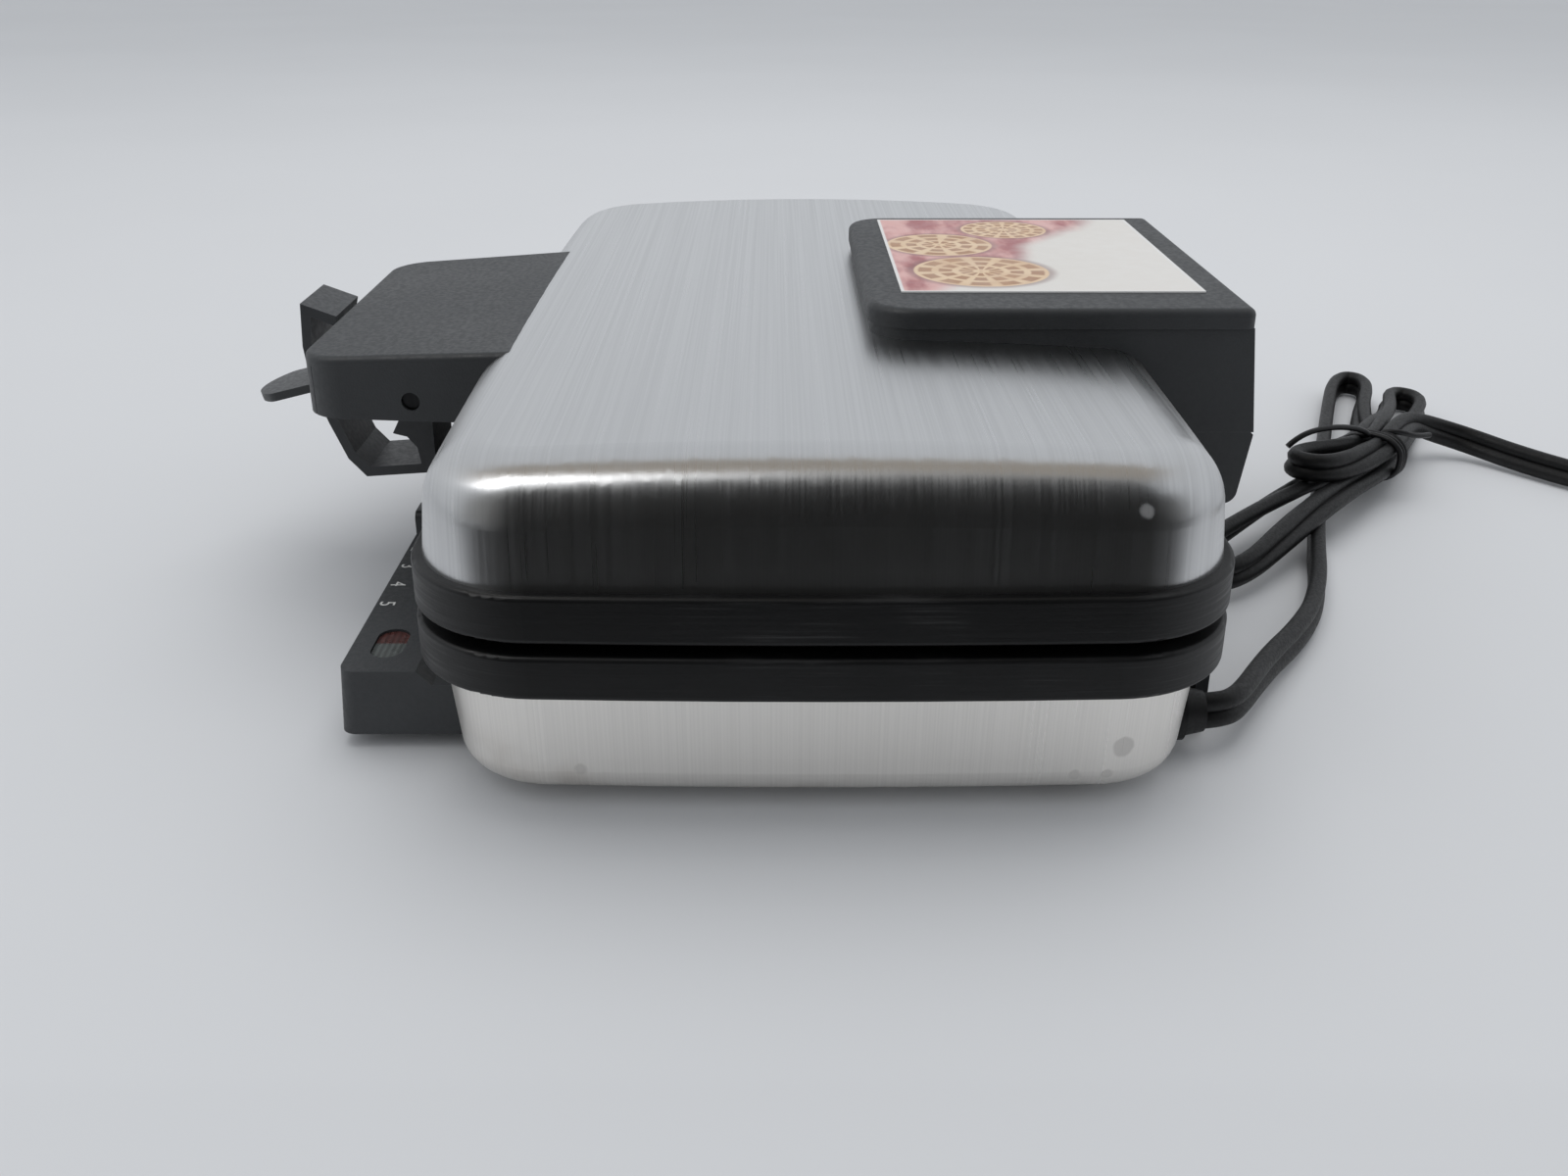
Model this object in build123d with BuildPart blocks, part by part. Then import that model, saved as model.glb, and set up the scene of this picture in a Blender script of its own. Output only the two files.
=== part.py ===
"""Countertop pizzelle maker with a hinged lid, in millimetres.

+X is the user's right, +Y points to the hinge at the back and +Z is up. Sketches are drawn about the
middle of the baking plates, and plate_y puts the origin under the middle of the whole appliance.
"""

import math
import os

from build123d import *

# Rings round the baking plates
ring_width = 256.0
ring_depth = 146.0
ring_corner = 24.0
ring_edge = 0.9
side_bow = 2.0
lower_ring_bottom = 26.4
lower_ring_height = 8.3
ring_gap = 2.4
upper_ring_height = 8.8

# Baking plates
plate_width = 232.0
plate_depth = 122.0
plate_corner = 14.0
plate_thickness = 6.0
plate_gap = 0.4
plate_clearance = 0.5
plate_ledge = 3.0
iron_radius = 51.0
iron_spacing = 115.0
iron_depth = 1.2
rib_height = 0.8
rib_width = 1.5
rib_circles = (11.0, 27.0, 47.0)
rib_spokes = 12
petal_radius = 7.2
petal_orbit = 37.0

# Stainless pans
pan_wall = 1.0
pan_draft = 5.5
base_inset = 4.0
base_floor = 3.5
base_edge = 6.0
lid_inset = 2.0
lid_height = 22.6
lid_crown = 2.8
lid_edge = 12.0

# Heating elements and reflectors
element_radius = 3.2
element_half_x = 100.0
element_half_y = 46.0
element_bend = 14.0
element_leg_bend = 6.0
element_leg_x = 12.0
element_leg = 19.0
strap_thickness = 1.2
strap_width = 10.0
strap_x = 50.0
strap_overhang = 3.0
strap_screw_radius = 1.75
strap_screw_head = 3.4
strap_boss_radius = 4.5
reflector_sheet = 0.8
reflector_flange = 3.0
reflector_depth = 13.2
reflector_inset = 11.0
reflector_hole = 4.2

# Handle on the lid
handle_reach = 110.0
handle_root_half = 52.0
handle_front_half = 47.0
handle_corner = 10.0
handle_bottom = 50.4
handle_front_top = 63.5
handle_root_top = 66.2
handle_root_y = -58.0
handle_wall = 2.4
handle_edge = 1.4
handle_boss_x = 30.0
handle_boss_z = 57.5
handle_boss_radius = 4.5
handle_boss_reach = 81.5
screw_radius = 1.75
screw_head_radius = 3.2
screw_head_height = 1.8

# Latch
latch_half_width = 10.0
latch_pivot_y = -85.8
latch_pivot_z = 54.7
latch_hub_radius = 4.5
latch_pin_radius = 2.0
latch_running_gap = 0.05
latch_pin_recess = 0.9
tab_overhang = 24.3
tab_root_gap = 9.0
tab_root_z = 46.9
tab_slope = 14.0
tab_tip_depth = 5.3
tab_corner = 3.0
tab_thickness = 2.0
latch_nose_gap = 1.2
latch_web_gap = 4.7
catch_half_width = 12.0
catch_reach = 86.5
catch_bottom = 28.1
catch_height = 5.0
catch_bevel = 1.5
nose_drop = 0.6

# Rear cover and hinge
cover_half_width = 51.0
cover_front_y = 11.0
cover_top = 74.9
cover_top_rear_y = 91.2
cover_reach = 93.7
cover_seam_z = 48.3
cover_parting_z = 70.8
cover_corner = 10.0
cover_edge = 2.2
cover_step = 0.6
cover_wall = 2.2
cover_bottom = 32.0
cover_bottom_round = 3.0
cover_front_gap = 78.0
cover_lip_y = 84.5
cover_floor = 1.6
cover_slot_height = 7.2
cover_screw_x = 35.0
cover_screw_ys = (30.0, 56.0)
label_width = 82.0
label_depth = 65.5
label_x = -5.0
label_front_gap = 7.7
label_thickness = 0.3
hinge_y = 84.0
hinge_z = 38.6
hinge_knuckle = 4.0
hinge_pin_radius = 2.0
hinge_running_gap = 0.05
hinge_pin_head = 3.0
hinge_pin_head_height = 1.2
lid_arm_x = 11.0
arm_width = 10.0
arm_gap = 1.0
arm_foot_margin = 0.8

# Control housing
panel_half_width = 100.0
panel_reach = 93.4
panel_top_reach = 92.4
panel_top = 16.8
panel_top_depth = 15.0
panel_step = 3.0
panel_bottom = 3.0
panel_rear_reach = 66.0
panel_wall = 2.0
panel_corner = 3.0
panel_cover_thickness = 1.6
panel_cover_gap = 0.2
panel_screw_x = 60.0
panel_screw_y = -80.0
panel_boss_radius = 3.6
window_x = 87.8
window_y = -85.0
window_length = 12.6
window_width = 6.4
window_split_x = 87.0
window_recess = 0.5
window_gap = 0.1
window_flange = 1.2
window_flange_height = 0.8
lamp_radius = 1.9
lamp_height = 5.5
lamp_spacing = 6.4
thermostat_width = 26.0
thermostat_depth = 9.0
thermostat_height = 8.6
thermostat_margin = 2.0
thermostat_rod = 5.0
thermostat_rod_radius = 1.9
slot_z = 9.5
slot_height = 3.0
slider_start_x = 5.0
slider_travel = 64.0
slider_gap = 0.3
slider_neck_width = 4.4
slider_knob_width = 9.0
slider_knob_height = 8.0
slider_knob_depth = 4.5
slider_flange = 2.0
slider_flange_depth = 1.4

# Feet, posts and the cord's way in
foot_x = 92.0
foot_y = 42.0
foot_radius = 8.0
foot_tip_radius = 7.0
foot_recess_radius = 4.2
foot_recess = 1.8
foot_screw_radius = 2.0
foot_screw_head = 3.6
foot_screw_length = 4.0
post_x = 88.0
post_z = 8.5
post_stem = 7.0
post_plate_width = 12.0
post_plate_height = 15.0
post_plate_thickness = 2.5
post_reach = 77.0
relief_x = 101.0
relief_z = 8.8
relief_neck_radius = 4.6
relief_flange_radius = 5.6
relief_inner_y = 50.0
relief_flange_thickness = 2.4
relief_root_radius = 4.9
relief_tip_radius = 4.0
relief_nose = 4.1
relief_reach = 74.0
terminal_size = (24.0, 12.0, 5.5)
terminal_x = 60.0
terminal_y = 36.0
wire_hole_radius = 4.0
wire_hole_z = 10.5

# Mains cord: an 8 by 4 mm flat twin lead, drawn as a round tube of about the same section
cord_radius = 2.6
cord_gap = 0.9
waist_x = -42.9
waist_y = 155.9
waist_height = 8.2
hank_angle = 139.0
wide_fold = 15.0
narrow_fold = 12.0
tie_wire = 1.1
waist_spread = 0.6
tie_clearance = 0.8
tie_width = 2.4
plug_length = 26.0
plug_width = 19.0
plug_height = 11.0
plug_edge = 2.0
blade_length = 16.0
blade_width = 6.4
blade_thickness = 1.6
blade_spacing = 12.7

# Where the drawing's centre lies when the origin is under the middle of the appliance
latch_tab_reach = handle_reach + tab_overhang
plate_y = (latch_tab_reach - cover_reach) / 2

# Heights that follow from the stack of rings and plates
lower_ring_top = lower_ring_bottom + lower_ring_height
upper_ring_bottom = lower_ring_top + ring_gap
upper_ring_top = upper_ring_bottom + upper_ring_height
plate_parting = (lower_ring_top + upper_ring_bottom) / 2
lower_plate_top = plate_parting - plate_gap / 2
lower_plate_bottom = lower_plate_top - plate_thickness
upper_plate_bottom = plate_parting + plate_gap / 2
upper_plate_top = upper_plate_bottom + plate_thickness
ring_reach_y = ring_depth / 2 + side_bow
lid_arm_centre = lid_arm_x + arm_width / 2
base_arm_centre = lid_arm_centre + arm_width + arm_gap
lid_top = upper_ring_top + lid_height
relief_flange_y = relief_reach - relief_nose - relief_flange_thickness


def level(height):
    """Return the horizontal plane at a height, centred on the plates."""
    return Plane(origin=(0, plate_y, height), x_dir=(1, 0, 0), z_dir=(0, 0, 1))


def level_down(height):
    """Return the same plane facing down; a sketch on it has its front and back swapped."""
    return Plane(origin=(0, plate_y, height), x_dir=(1, 0, 0), z_dir=(0, 0, -1))


def side(across=0.0):
    """Return the upright plane seen from the right: its x runs to the back and its y runs up."""
    return Plane(origin=(across, plate_y, 0), x_dir=(0, 1, 0), z_dir=(1, 0, 0))


def facing_back(back):
    """Return the upright plane that faces the back; its x runs to the left and its y runs up."""
    return Plane(origin=(0, plate_y + back, 0), x_dir=(-1, 0, 0), z_dir=(0, 1, 0))


def place(across, back, height):
    """Return a point given from the middle of the plates at table level."""
    return Vector(across, plate_y + back, height)


def bowed_face(plane, shrink):
    """Return the rings' outline, a rounded rectangle with bowed sides, smaller all round by shrink."""
    half_x = ring_width / 2 - shrink
    half_y = ring_depth / 2 - shrink
    with BuildSketch(plane) as outline:
        with BuildLine():
            ThreePointArc((-half_x, -half_y), (0, -half_y - side_bow), (half_x, -half_y))
            ThreePointArc((half_x, -half_y), (half_x + side_bow, 0), (half_x, half_y))
            ThreePointArc((half_x, half_y), (0, half_y + side_bow), (-half_x, half_y))
            ThreePointArc((-half_x, half_y), (-half_x - side_bow, 0), (-half_x, -half_y))
        make_face()
        fillet(outline.vertices(), ring_corner - shrink)
    return outline.sketch


def lid_block(shrink):
    """Return the lid's outer form as a solid, smaller all round by shrink."""
    with BuildPart() as block:
        rim = bowed_face(level(upper_ring_top), lid_inset + shrink)
        extrude(rim, amount=lid_height, taper=pan_draft)
        reach = ring_depth / 2
        with BuildSketch(side()):
            with BuildLine():
                arc = ThreePointArc(
                    (-reach, lid_top - lid_crown - shrink),
                    (0, lid_top - shrink),
                    (reach, lid_top - lid_crown - shrink),
                )
                Polyline(
                    arc @ 1,
                    (reach, upper_ring_top - 1),
                    (-reach, upper_ring_top - 1),
                    arc @ 0,
                )
            make_face()
        extrude(amount=ring_width, both=True, mode=Mode.INTERSECT)
        fillet(block.faces().sort_by(Axis.Z)[-1].edges(), lid_edge - shrink)
    return block.part


def base_block(shrink):
    """Return the base pan's outer form as a solid, smaller all round by shrink."""
    with BuildPart() as block:
        rim = bowed_face(level_down(lower_ring_bottom), base_inset + shrink)
        extrude(rim, amount=lower_ring_bottom - base_floor - shrink, taper=pan_draft)
        fillet(block.faces().sort_by(Axis.Z)[0].edges(), base_edge - shrink)
    return block.part


def ring_block(bottom, height):
    """Return a ring's outer form as a solid with rounded edges."""
    with BuildPart() as block:
        extrude(bowed_face(level(bottom), 0), amount=height)
        fillet(block.edges().group_by(Axis.Z)[0], ring_edge)
        fillet(block.edges().group_by(Axis.Z)[-1], ring_edge)
    return block.part


def plate_outline(grow):
    """Draw the baking plate's outline, larger all round by grow."""
    RectangleRounded(plate_width + 2 * grow, plate_depth + 2 * grow, plate_corner + grow)


lid_form = lid_block(0)
base_form = base_block(0)
lower_ring_form = ring_block(lower_ring_bottom, lower_ring_height)
upper_ring_form = ring_block(upper_ring_bottom, upper_ring_height)


# Rings: each holds its plate against a ledge

with BuildPart() as lower_ring:
    add(lower_ring_form)
    with BuildSketch(level(lower_ring_bottom)):
        plate_outline(-plate_ledge)
    extrude(amount=lower_ring_height, mode=Mode.SUBTRACT)
    with BuildSketch(level(lower_plate_bottom)):
        plate_outline(plate_clearance)
    extrude(amount=plate_thickness, mode=Mode.SUBTRACT)

with BuildPart() as upper_ring:
    add(upper_ring_form)
    with BuildSketch(level(upper_ring_bottom)):
        plate_outline(-plate_ledge)
    extrude(amount=upper_ring_height, mode=Mode.SUBTRACT)
    with BuildSketch(level(upper_plate_top)):
        plate_outline(plate_clearance)
    extrude(amount=-plate_thickness, mode=Mode.SUBTRACT)


# Baking plates: two round irons side by side, with a star of spokes and petals in each


def grid_plate(face_plane, back_plane):
    """Return a plate whose irons open out of face_plane and whose bosses stand on back_plane."""
    with BuildPart() as plate:
        with BuildSketch(face_plane):
            plate_outline(0)
        extrude(amount=-plate_thickness)
        with BuildSketch(face_plane):
            with GridLocations(iron_spacing, 0, 2, 1):
                Circle(iron_radius)
        extrude(amount=-iron_depth, mode=Mode.SUBTRACT)
        with BuildSketch(face_plane.offset(-iron_depth)):
            with GridLocations(iron_spacing, 0, 2, 1):
                for radius in rib_circles:
                    Circle(radius + rib_width / 2)
                    Circle(radius - rib_width / 2, mode=Mode.SUBTRACT)
                with PolarLocations((rib_circles[0] + rib_circles[2]) / 2, rib_spokes):
                    Rectangle(rib_circles[2] - rib_circles[0], rib_width)
                with PolarLocations(petal_orbit, rib_spokes, start_angle=180 / rib_spokes):
                    Circle(petal_radius)
                    Circle(petal_radius - rib_width, mode=Mode.SUBTRACT)
        extrude(amount=rib_height)
        with BuildSketch(back_plane):
            with GridLocations(2 * strap_x, 0, 2, 1):
                Circle(strap_boss_radius)
        extrude(amount=2 * element_radius)
        with BuildSketch(back_plane):
            with GridLocations(2 * strap_x, 0, 2, 1):
                Circle(strap_screw_radius)
        extrude(amount=2 * element_radius, mode=Mode.SUBTRACT)
    return plate


lower_grid_plate = grid_plate(level(lower_plate_top), level_down(lower_plate_bottom))
upper_grid_plate = grid_plate(level_down(upper_plate_bottom), level(upper_plate_top))


# Heating elements: a rod bent round under each plate, with two legs through the reflector


def heating_element(plate_back, away):
    """Return the bent rod that lies against plate_back; away is +1 upwards or -1 downwards."""
    rod = plate_back + away * element_radius
    leg_end = rod + away * element_leg
    corners = [
        place(element_leg_x, element_half_y, leg_end),
        place(element_leg_x, element_half_y, rod),
        place(element_half_x, element_half_y, rod),
        place(element_half_x, -element_half_y, rod),
        place(-element_half_x, -element_half_y, rod),
        place(-element_half_x, element_half_y, rod),
        place(-element_leg_x, element_half_y, rod),
        place(-element_leg_x, element_half_y, leg_end),
    ]
    bends = [element_leg_bend] + 4 * [element_bend] + [element_leg_bend]
    with BuildPart() as element:
        with BuildLine() as route:
            FilletPolyline(*corners, radius=bends)
        with BuildSketch(Plane(origin=route.line @ 0, z_dir=route.line % 0)):
            Circle(element_radius)
        sweep()
    return element


lower_heating_element = heating_element(lower_plate_bottom, -1)
upper_heating_element = heating_element(upper_plate_top, 1)


def element_straps(plate_back_plane):
    """Return the two flat bars that clamp the rod to the plate."""
    with BuildPart() as straps:
        with BuildSketch(plate_back_plane.offset(2 * element_radius)):
            with GridLocations(2 * strap_x, 0, 2, 1):
                Rectangle(strap_width, 2 * (element_half_y + strap_overhang))
                Circle(strap_screw_radius, mode=Mode.SUBTRACT)
        extrude(amount=strap_thickness)
    return straps


def strap_screws(plate_back_plane):
    """Return the screws that hold the bars to the plate's bosses."""
    with BuildPart() as screws:
        with BuildSketch(plate_back_plane):
            with GridLocations(2 * strap_x, 0, 2, 1):
                Circle(strap_screw_radius)
        extrude(amount=2 * element_radius + strap_thickness)
        with BuildSketch(plate_back_plane.offset(2 * element_radius + strap_thickness)):
            with GridLocations(2 * strap_x, 0, 2, 1):
                Circle(strap_screw_head)
        extrude(amount=screw_head_height)
    return screws


lower_element_straps = element_straps(level_down(lower_plate_bottom))
upper_element_straps = element_straps(level(upper_plate_top))
lower_strap_screws = strap_screws(level_down(lower_plate_bottom))
upper_strap_screws = strap_screws(level(upper_plate_top))


def heat_reflector(rim_plane):
    """Return the bright tray whose flange lies on the ring and which stands away from the plate."""
    floor_width = plate_width - 2 * reflector_inset
    floor_depth = plate_depth - 2 * reflector_inset
    with BuildPart() as tray:
        with BuildSketch(rim_plane):
            plate_outline(reflector_flange)
        extrude(amount=reflector_sheet)
        with BuildSketch(rim_plane):
            RectangleRounded(floor_width, floor_depth, plate_corner)
        extrude(amount=reflector_depth)
        with BuildSketch(rim_plane):
            RectangleRounded(
                floor_width - 2 * reflector_sheet,
                floor_depth - 2 * reflector_sheet,
                plate_corner - reflector_sheet,
            )
        extrude(amount=reflector_depth - reflector_sheet, mode=Mode.SUBTRACT)
        with BuildSketch(rim_plane):
            with Locations(
                (element_leg_x, element_half_y),
                (-element_leg_x, element_half_y),
                (element_leg_x, -element_half_y),
                (-element_leg_x, -element_half_y),
            ):
                Circle(reflector_hole)
        extrude(amount=reflector_depth, mode=Mode.SUBTRACT)
    return tray


lower_heat_reflector = heat_reflector(level_down(lower_ring_bottom))
upper_heat_reflector = heat_reflector(level(upper_ring_top))


# Stainless pans

with BuildPart() as base_shell:
    add(base_form)
    add(base_block(pan_wall), mode=Mode.SUBTRACT)
    with BuildSketch(level(0)):
        with GridLocations(2 * foot_x, 2 * foot_y, 2, 2):
            Circle(foot_screw_radius)
    extrude(amount=lower_ring_bottom / 2, mode=Mode.SUBTRACT)
    with BuildSketch(facing_back(-ring_reach_y)):
        with Locations((0, wire_hole_z)):
            Circle(wire_hole_radius)
    extrude(amount=ring_reach_y / 2, mode=Mode.SUBTRACT)
    with BuildSketch(facing_back(relief_inner_y)):
        with Locations((-relief_x, relief_z)):
            Circle(relief_neck_radius)
    extrude(amount=ring_reach_y - relief_inner_y, mode=Mode.SUBTRACT)

with BuildPart() as lid_shell:
    add(lid_form)
    add(lid_block(pan_wall), mode=Mode.SUBTRACT)
    with BuildSketch(facing_back(-ring_reach_y)):
        with GridLocations(2 * handle_boss_x, 0, 2, 1):
            with Locations((0, handle_boss_z)):
                Circle(screw_radius)
    extrude(amount=ring_reach_y / 2, mode=Mode.SUBTRACT)
    with BuildSketch(level(upper_ring_top)):
        for screw_y in cover_screw_ys:
            with GridLocations(2 * cover_screw_x, 0, 2, 1):
                with Locations((0, screw_y)):
                    Circle(screw_radius)
    extrude(amount=lid_height, mode=Mode.SUBTRACT)


# Handle

with BuildPart() as handle_block:
    with BuildSketch(level(handle_bottom)):
        with BuildLine():
            Polyline(
                (-handle_root_half, handle_root_y),
                (-handle_front_half, -handle_reach),
                (handle_front_half, -handle_reach),
                (handle_root_half, handle_root_y),
                close=True,
            )
        make_face()
    extrude(amount=handle_root_top - handle_bottom)
    fillet(handle_block.edges().filter_by(Axis.Z).sort_by(Axis.Y)[0:2], handle_corner)
    with BuildSketch(side()):
        with BuildLine():
            Polyline(
                (-handle_reach, handle_bottom),
                (-handle_reach, handle_front_top),
                (handle_root_y, handle_root_top),
                (handle_root_y, handle_bottom),
                close=True,
            )
        make_face()
    extrude(amount=handle_root_half, both=True, mode=Mode.INTERSECT)

with BuildPart() as handle_shell:
    add(handle_block.part)
    fillet(handle_shell.faces().sort_by(Axis.Z)[-1].edges().sort_by(Axis.Y)[:-1], handle_edge)
    with BuildSketch(level(handle_bottom)):
        with BuildLine():
            Polyline(
                (-handle_root_half + handle_wall, handle_root_y),
                (-handle_front_half + handle_wall, -handle_reach + handle_wall),
                (handle_front_half - handle_wall, -handle_reach + handle_wall),
                (handle_root_half - handle_wall, handle_root_y),
                close=True,
            )
        make_face()
    extrude(amount=handle_front_top - handle_wall - handle_bottom, mode=Mode.SUBTRACT)
    with BuildSketch(facing_back(-handle_boss_reach)):
        with GridLocations(2 * handle_boss_x, 0, 2, 1):
            with Locations((0, handle_boss_z)):
                Circle(handle_boss_radius)
    extrude(amount=handle_boss_reach + handle_root_y)
    with BuildSketch(facing_back(-handle_boss_reach)):
        with GridLocations(2 * handle_boss_x, 0, 2, 1):
            with Locations((0, handle_boss_z)):
                Circle(screw_radius)
    extrude(amount=handle_boss_reach + handle_root_y, mode=Mode.SUBTRACT)
    with BuildSketch(side()):
        with Locations((latch_pivot_y, latch_pivot_z)):
            Circle(latch_pin_radius)
    extrude(amount=handle_root_half, both=True, mode=Mode.SUBTRACT)
    add(lid_form, mode=Mode.SUBTRACT)

side_lean = (handle_root_half - handle_front_half) / (handle_reach + handle_root_y)
pin_half = handle_front_half + side_lean * (handle_reach + latch_pivot_y) - latch_pin_recess

with BuildPart() as latch_pin:
    with BuildSketch(side(-pin_half)):
        with Locations((latch_pivot_y, latch_pivot_z)):
            Circle(latch_pin_radius)
    extrude(amount=2 * pin_half)

with BuildPart() as handle_screws:
    head_y = -ring_depth / 2 + lid_inset + pan_wall + screw_head_height
    with BuildSketch(facing_back(-handle_boss_reach + handle_wall)):
        with GridLocations(2 * handle_boss_x, 0, 2, 1):
            with Locations((0, handle_boss_z)):
                Circle(screw_radius)
    extrude(amount=handle_boss_reach - handle_wall + head_y)
    with BuildSketch(facing_back(head_y)):
        with GridLocations(2 * handle_boss_x, 0, 2, 1):
            with Locations((0, handle_boss_z)):
                Circle(screw_head_radius)
    extrude(amount=screw_head_height)


# Latch: a moulded strap that swings on the pin and hooks under the catch

catch_front = -catch_reach
front = -handle_reach
tab_root_y = front - tab_root_gap
tab_length = (latch_tab_reach + tab_root_y) / math.cos(math.radians(tab_slope))
tab_plane = Plane(
    origin=place(0, tab_root_y, tab_root_z),
    x_dir=(1, 0, 0),
    z_dir=(0, -math.sin(math.radians(tab_slope)), math.cos(math.radians(tab_slope))),
)
nose_tip = catch_front - latch_nose_gap
nose_top = catch_bottom - nose_drop
web_rear = catch_front - latch_web_gap

with BuildPart() as latch_loop:
    with BuildSketch(side()) as profile:
        with BuildLine():
            Polyline(
                (front - 1.2, 63.2),
                (front - 9.3, 66.2),
                (front - 10.0, 56.0),
                (front - 9.0, 46.0),
                (front - 6.1, 37.1),
                (front - 2.5, 28.0),
                (front + 1.5, 23.4),
                (nose_tip - 1.5, nose_top - 2.8),
                (nose_tip, nose_top - 1.6),
                (nose_tip, nose_top),
                (web_rear, nose_top),
                (web_rear, 38.0),
                (latch_pivot_y + latch_hub_radius, latch_pivot_z),
                (latch_pivot_y - latch_hub_radius, latch_pivot_z),
                (-101.0, 34.5),
                (-97.6, 33.6),
                (-95.4, 30.8),
                (-94.8, 26.7),
                (front + 2.6, 25.8),
                (front - 0.6, 29.4),
                (front - 4.0, 38.0),
                (front - 6.8, 46.4),
                (front - 7.8, 56.0),
                (front - 7.2, 63.0),
                (front - 1.8, 60.9),
                close=True,
            )
        make_face()
    extrude(amount=latch_half_width, both=True)
    with BuildSketch(side()):
        with Locations((latch_pivot_y, latch_pivot_z)):
            Circle(latch_hub_radius)
    extrude(amount=latch_half_width, both=True)
    with BuildSketch(tab_plane) as tab_plan:
        with BuildLine():
            Polyline(
                (-latch_half_width, -tab_length + tab_tip_depth),
                (-latch_half_width, 0),
                (latch_half_width, 0),
                (latch_half_width, -tab_length + tab_tip_depth),
            )
            ThreePointArc(
                (latch_half_width, -tab_length + tab_tip_depth),
                (0, -tab_length),
                (-latch_half_width, -tab_length + tab_tip_depth),
            )
        make_face()
        fillet(tab_plan.vertices().sort_by(Axis.Y)[0:2], tab_corner)
    extrude(amount=-tab_thickness)
    with BuildSketch(side()):
        with Locations((latch_pivot_y, latch_pivot_z)):
            Circle(latch_pin_radius + latch_running_gap)
    extrude(amount=latch_half_width, both=True, mode=Mode.SUBTRACT)

with BuildPart() as latch_catch:
    with BuildSketch(side()):
        with BuildLine():
            Polyline(
                (-catch_reach, catch_bottom),
                (-catch_reach, catch_bottom + catch_height - catch_bevel),
                (-catch_reach + catch_bevel, catch_bottom + catch_height),
                (-ring_depth / 2 + side_bow, catch_bottom + catch_height),
                (-ring_depth / 2 + side_bow, catch_bottom),
                close=True,
            )
        make_face()
    extrude(amount=catch_half_width, both=True)
    add(lower_ring_form, mode=Mode.SUBTRACT)


# Rear cover: a cap over a hollow housing, with a lower part closed round the hinge

with BuildPart() as rear_cover_top:
    with BuildSketch(level(cover_parting_z)) as cap_plan:
        with Locations((0, (cover_front_y + cover_top_rear_y) / 2)):
            Rectangle(2 * cover_half_width, cover_top_rear_y - cover_front_y)
        fillet(cap_plan.vertices().sort_by(Axis.Y)[0:2], cover_corner)
        fillet(cap_plan.vertices().sort_by(Axis.Y)[-2:], cover_edge)
    extrude(amount=cover_top - cover_parting_z)
    fillet(rear_cover_top.faces().sort_by(Axis.Z)[-1].edges(), cover_edge - cover_step)
    with BuildSketch(level(cover_parting_z)) as cap_pocket:
        with Locations((0, (cover_front_y + cover_top_rear_y) / 2)):
            Rectangle(
                2 * (cover_half_width - cover_wall),
                cover_top_rear_y - cover_front_y - 2 * cover_wall,
            )
        fillet(cap_pocket.vertices().sort_by(Axis.Y)[0:2], cover_corner - cover_wall)
    extrude(amount=cover_top - cover_parting_z - cover_wall, mode=Mode.SUBTRACT)

base_half = cover_half_width - cover_step
cavity_half = base_half - cover_wall
rear_slope = (cover_reach - cover_top_rear_y) / (cover_top - cover_seam_z)
parting_rear_y = cover_reach - cover_step - rear_slope * (cover_parting_z - cover_seam_z)

with BuildPart() as rear_cover_base:
    with BuildSketch(side()):
        with BuildLine():
            Polyline(
                (cover_front_y + cover_step, upper_ring_top + lid_edge),
                (cover_front_y + cover_step, cover_parting_z),
                (parting_rear_y, cover_parting_z),
                (cover_reach, cover_seam_z),
                (ring_depth / 2 - lid_edge, cover_seam_z),
                (ring_depth / 2 - lid_edge, upper_ring_top + lid_edge),
                close=True,
            )
        make_face()
    extrude(amount=base_half, both=True)
    fillet(
        rear_cover_base.edges().filter_by(Axis.Z).sort_by(Axis.Y)[0:2],
        cover_corner - cover_step,
    )
    with BuildSketch(side()):
        with BuildLine():
            Polyline(
                (ring_depth / 2 - lid_edge, cover_seam_z),
                (ring_depth / 2 - lid_edge, cover_parting_z - cover_wall),
                (parting_rear_y - cover_wall, cover_parting_z - cover_wall),
                (cover_reach - cover_wall, cover_seam_z),
                close=True,
            )
        make_face()
    extrude(amount=cavity_half, both=True, mode=Mode.SUBTRACT)
    add(lid_form, mode=Mode.SUBTRACT)
    with BuildSketch(level(upper_ring_top)):
        for screw_y in cover_screw_ys:
            with GridLocations(2 * cover_screw_x, 0, 2, 1):
                with Locations((0, screw_y)):
                    Circle(screw_radius)
    extrude(amount=cover_parting_z - upper_ring_top, mode=Mode.SUBTRACT)

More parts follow.
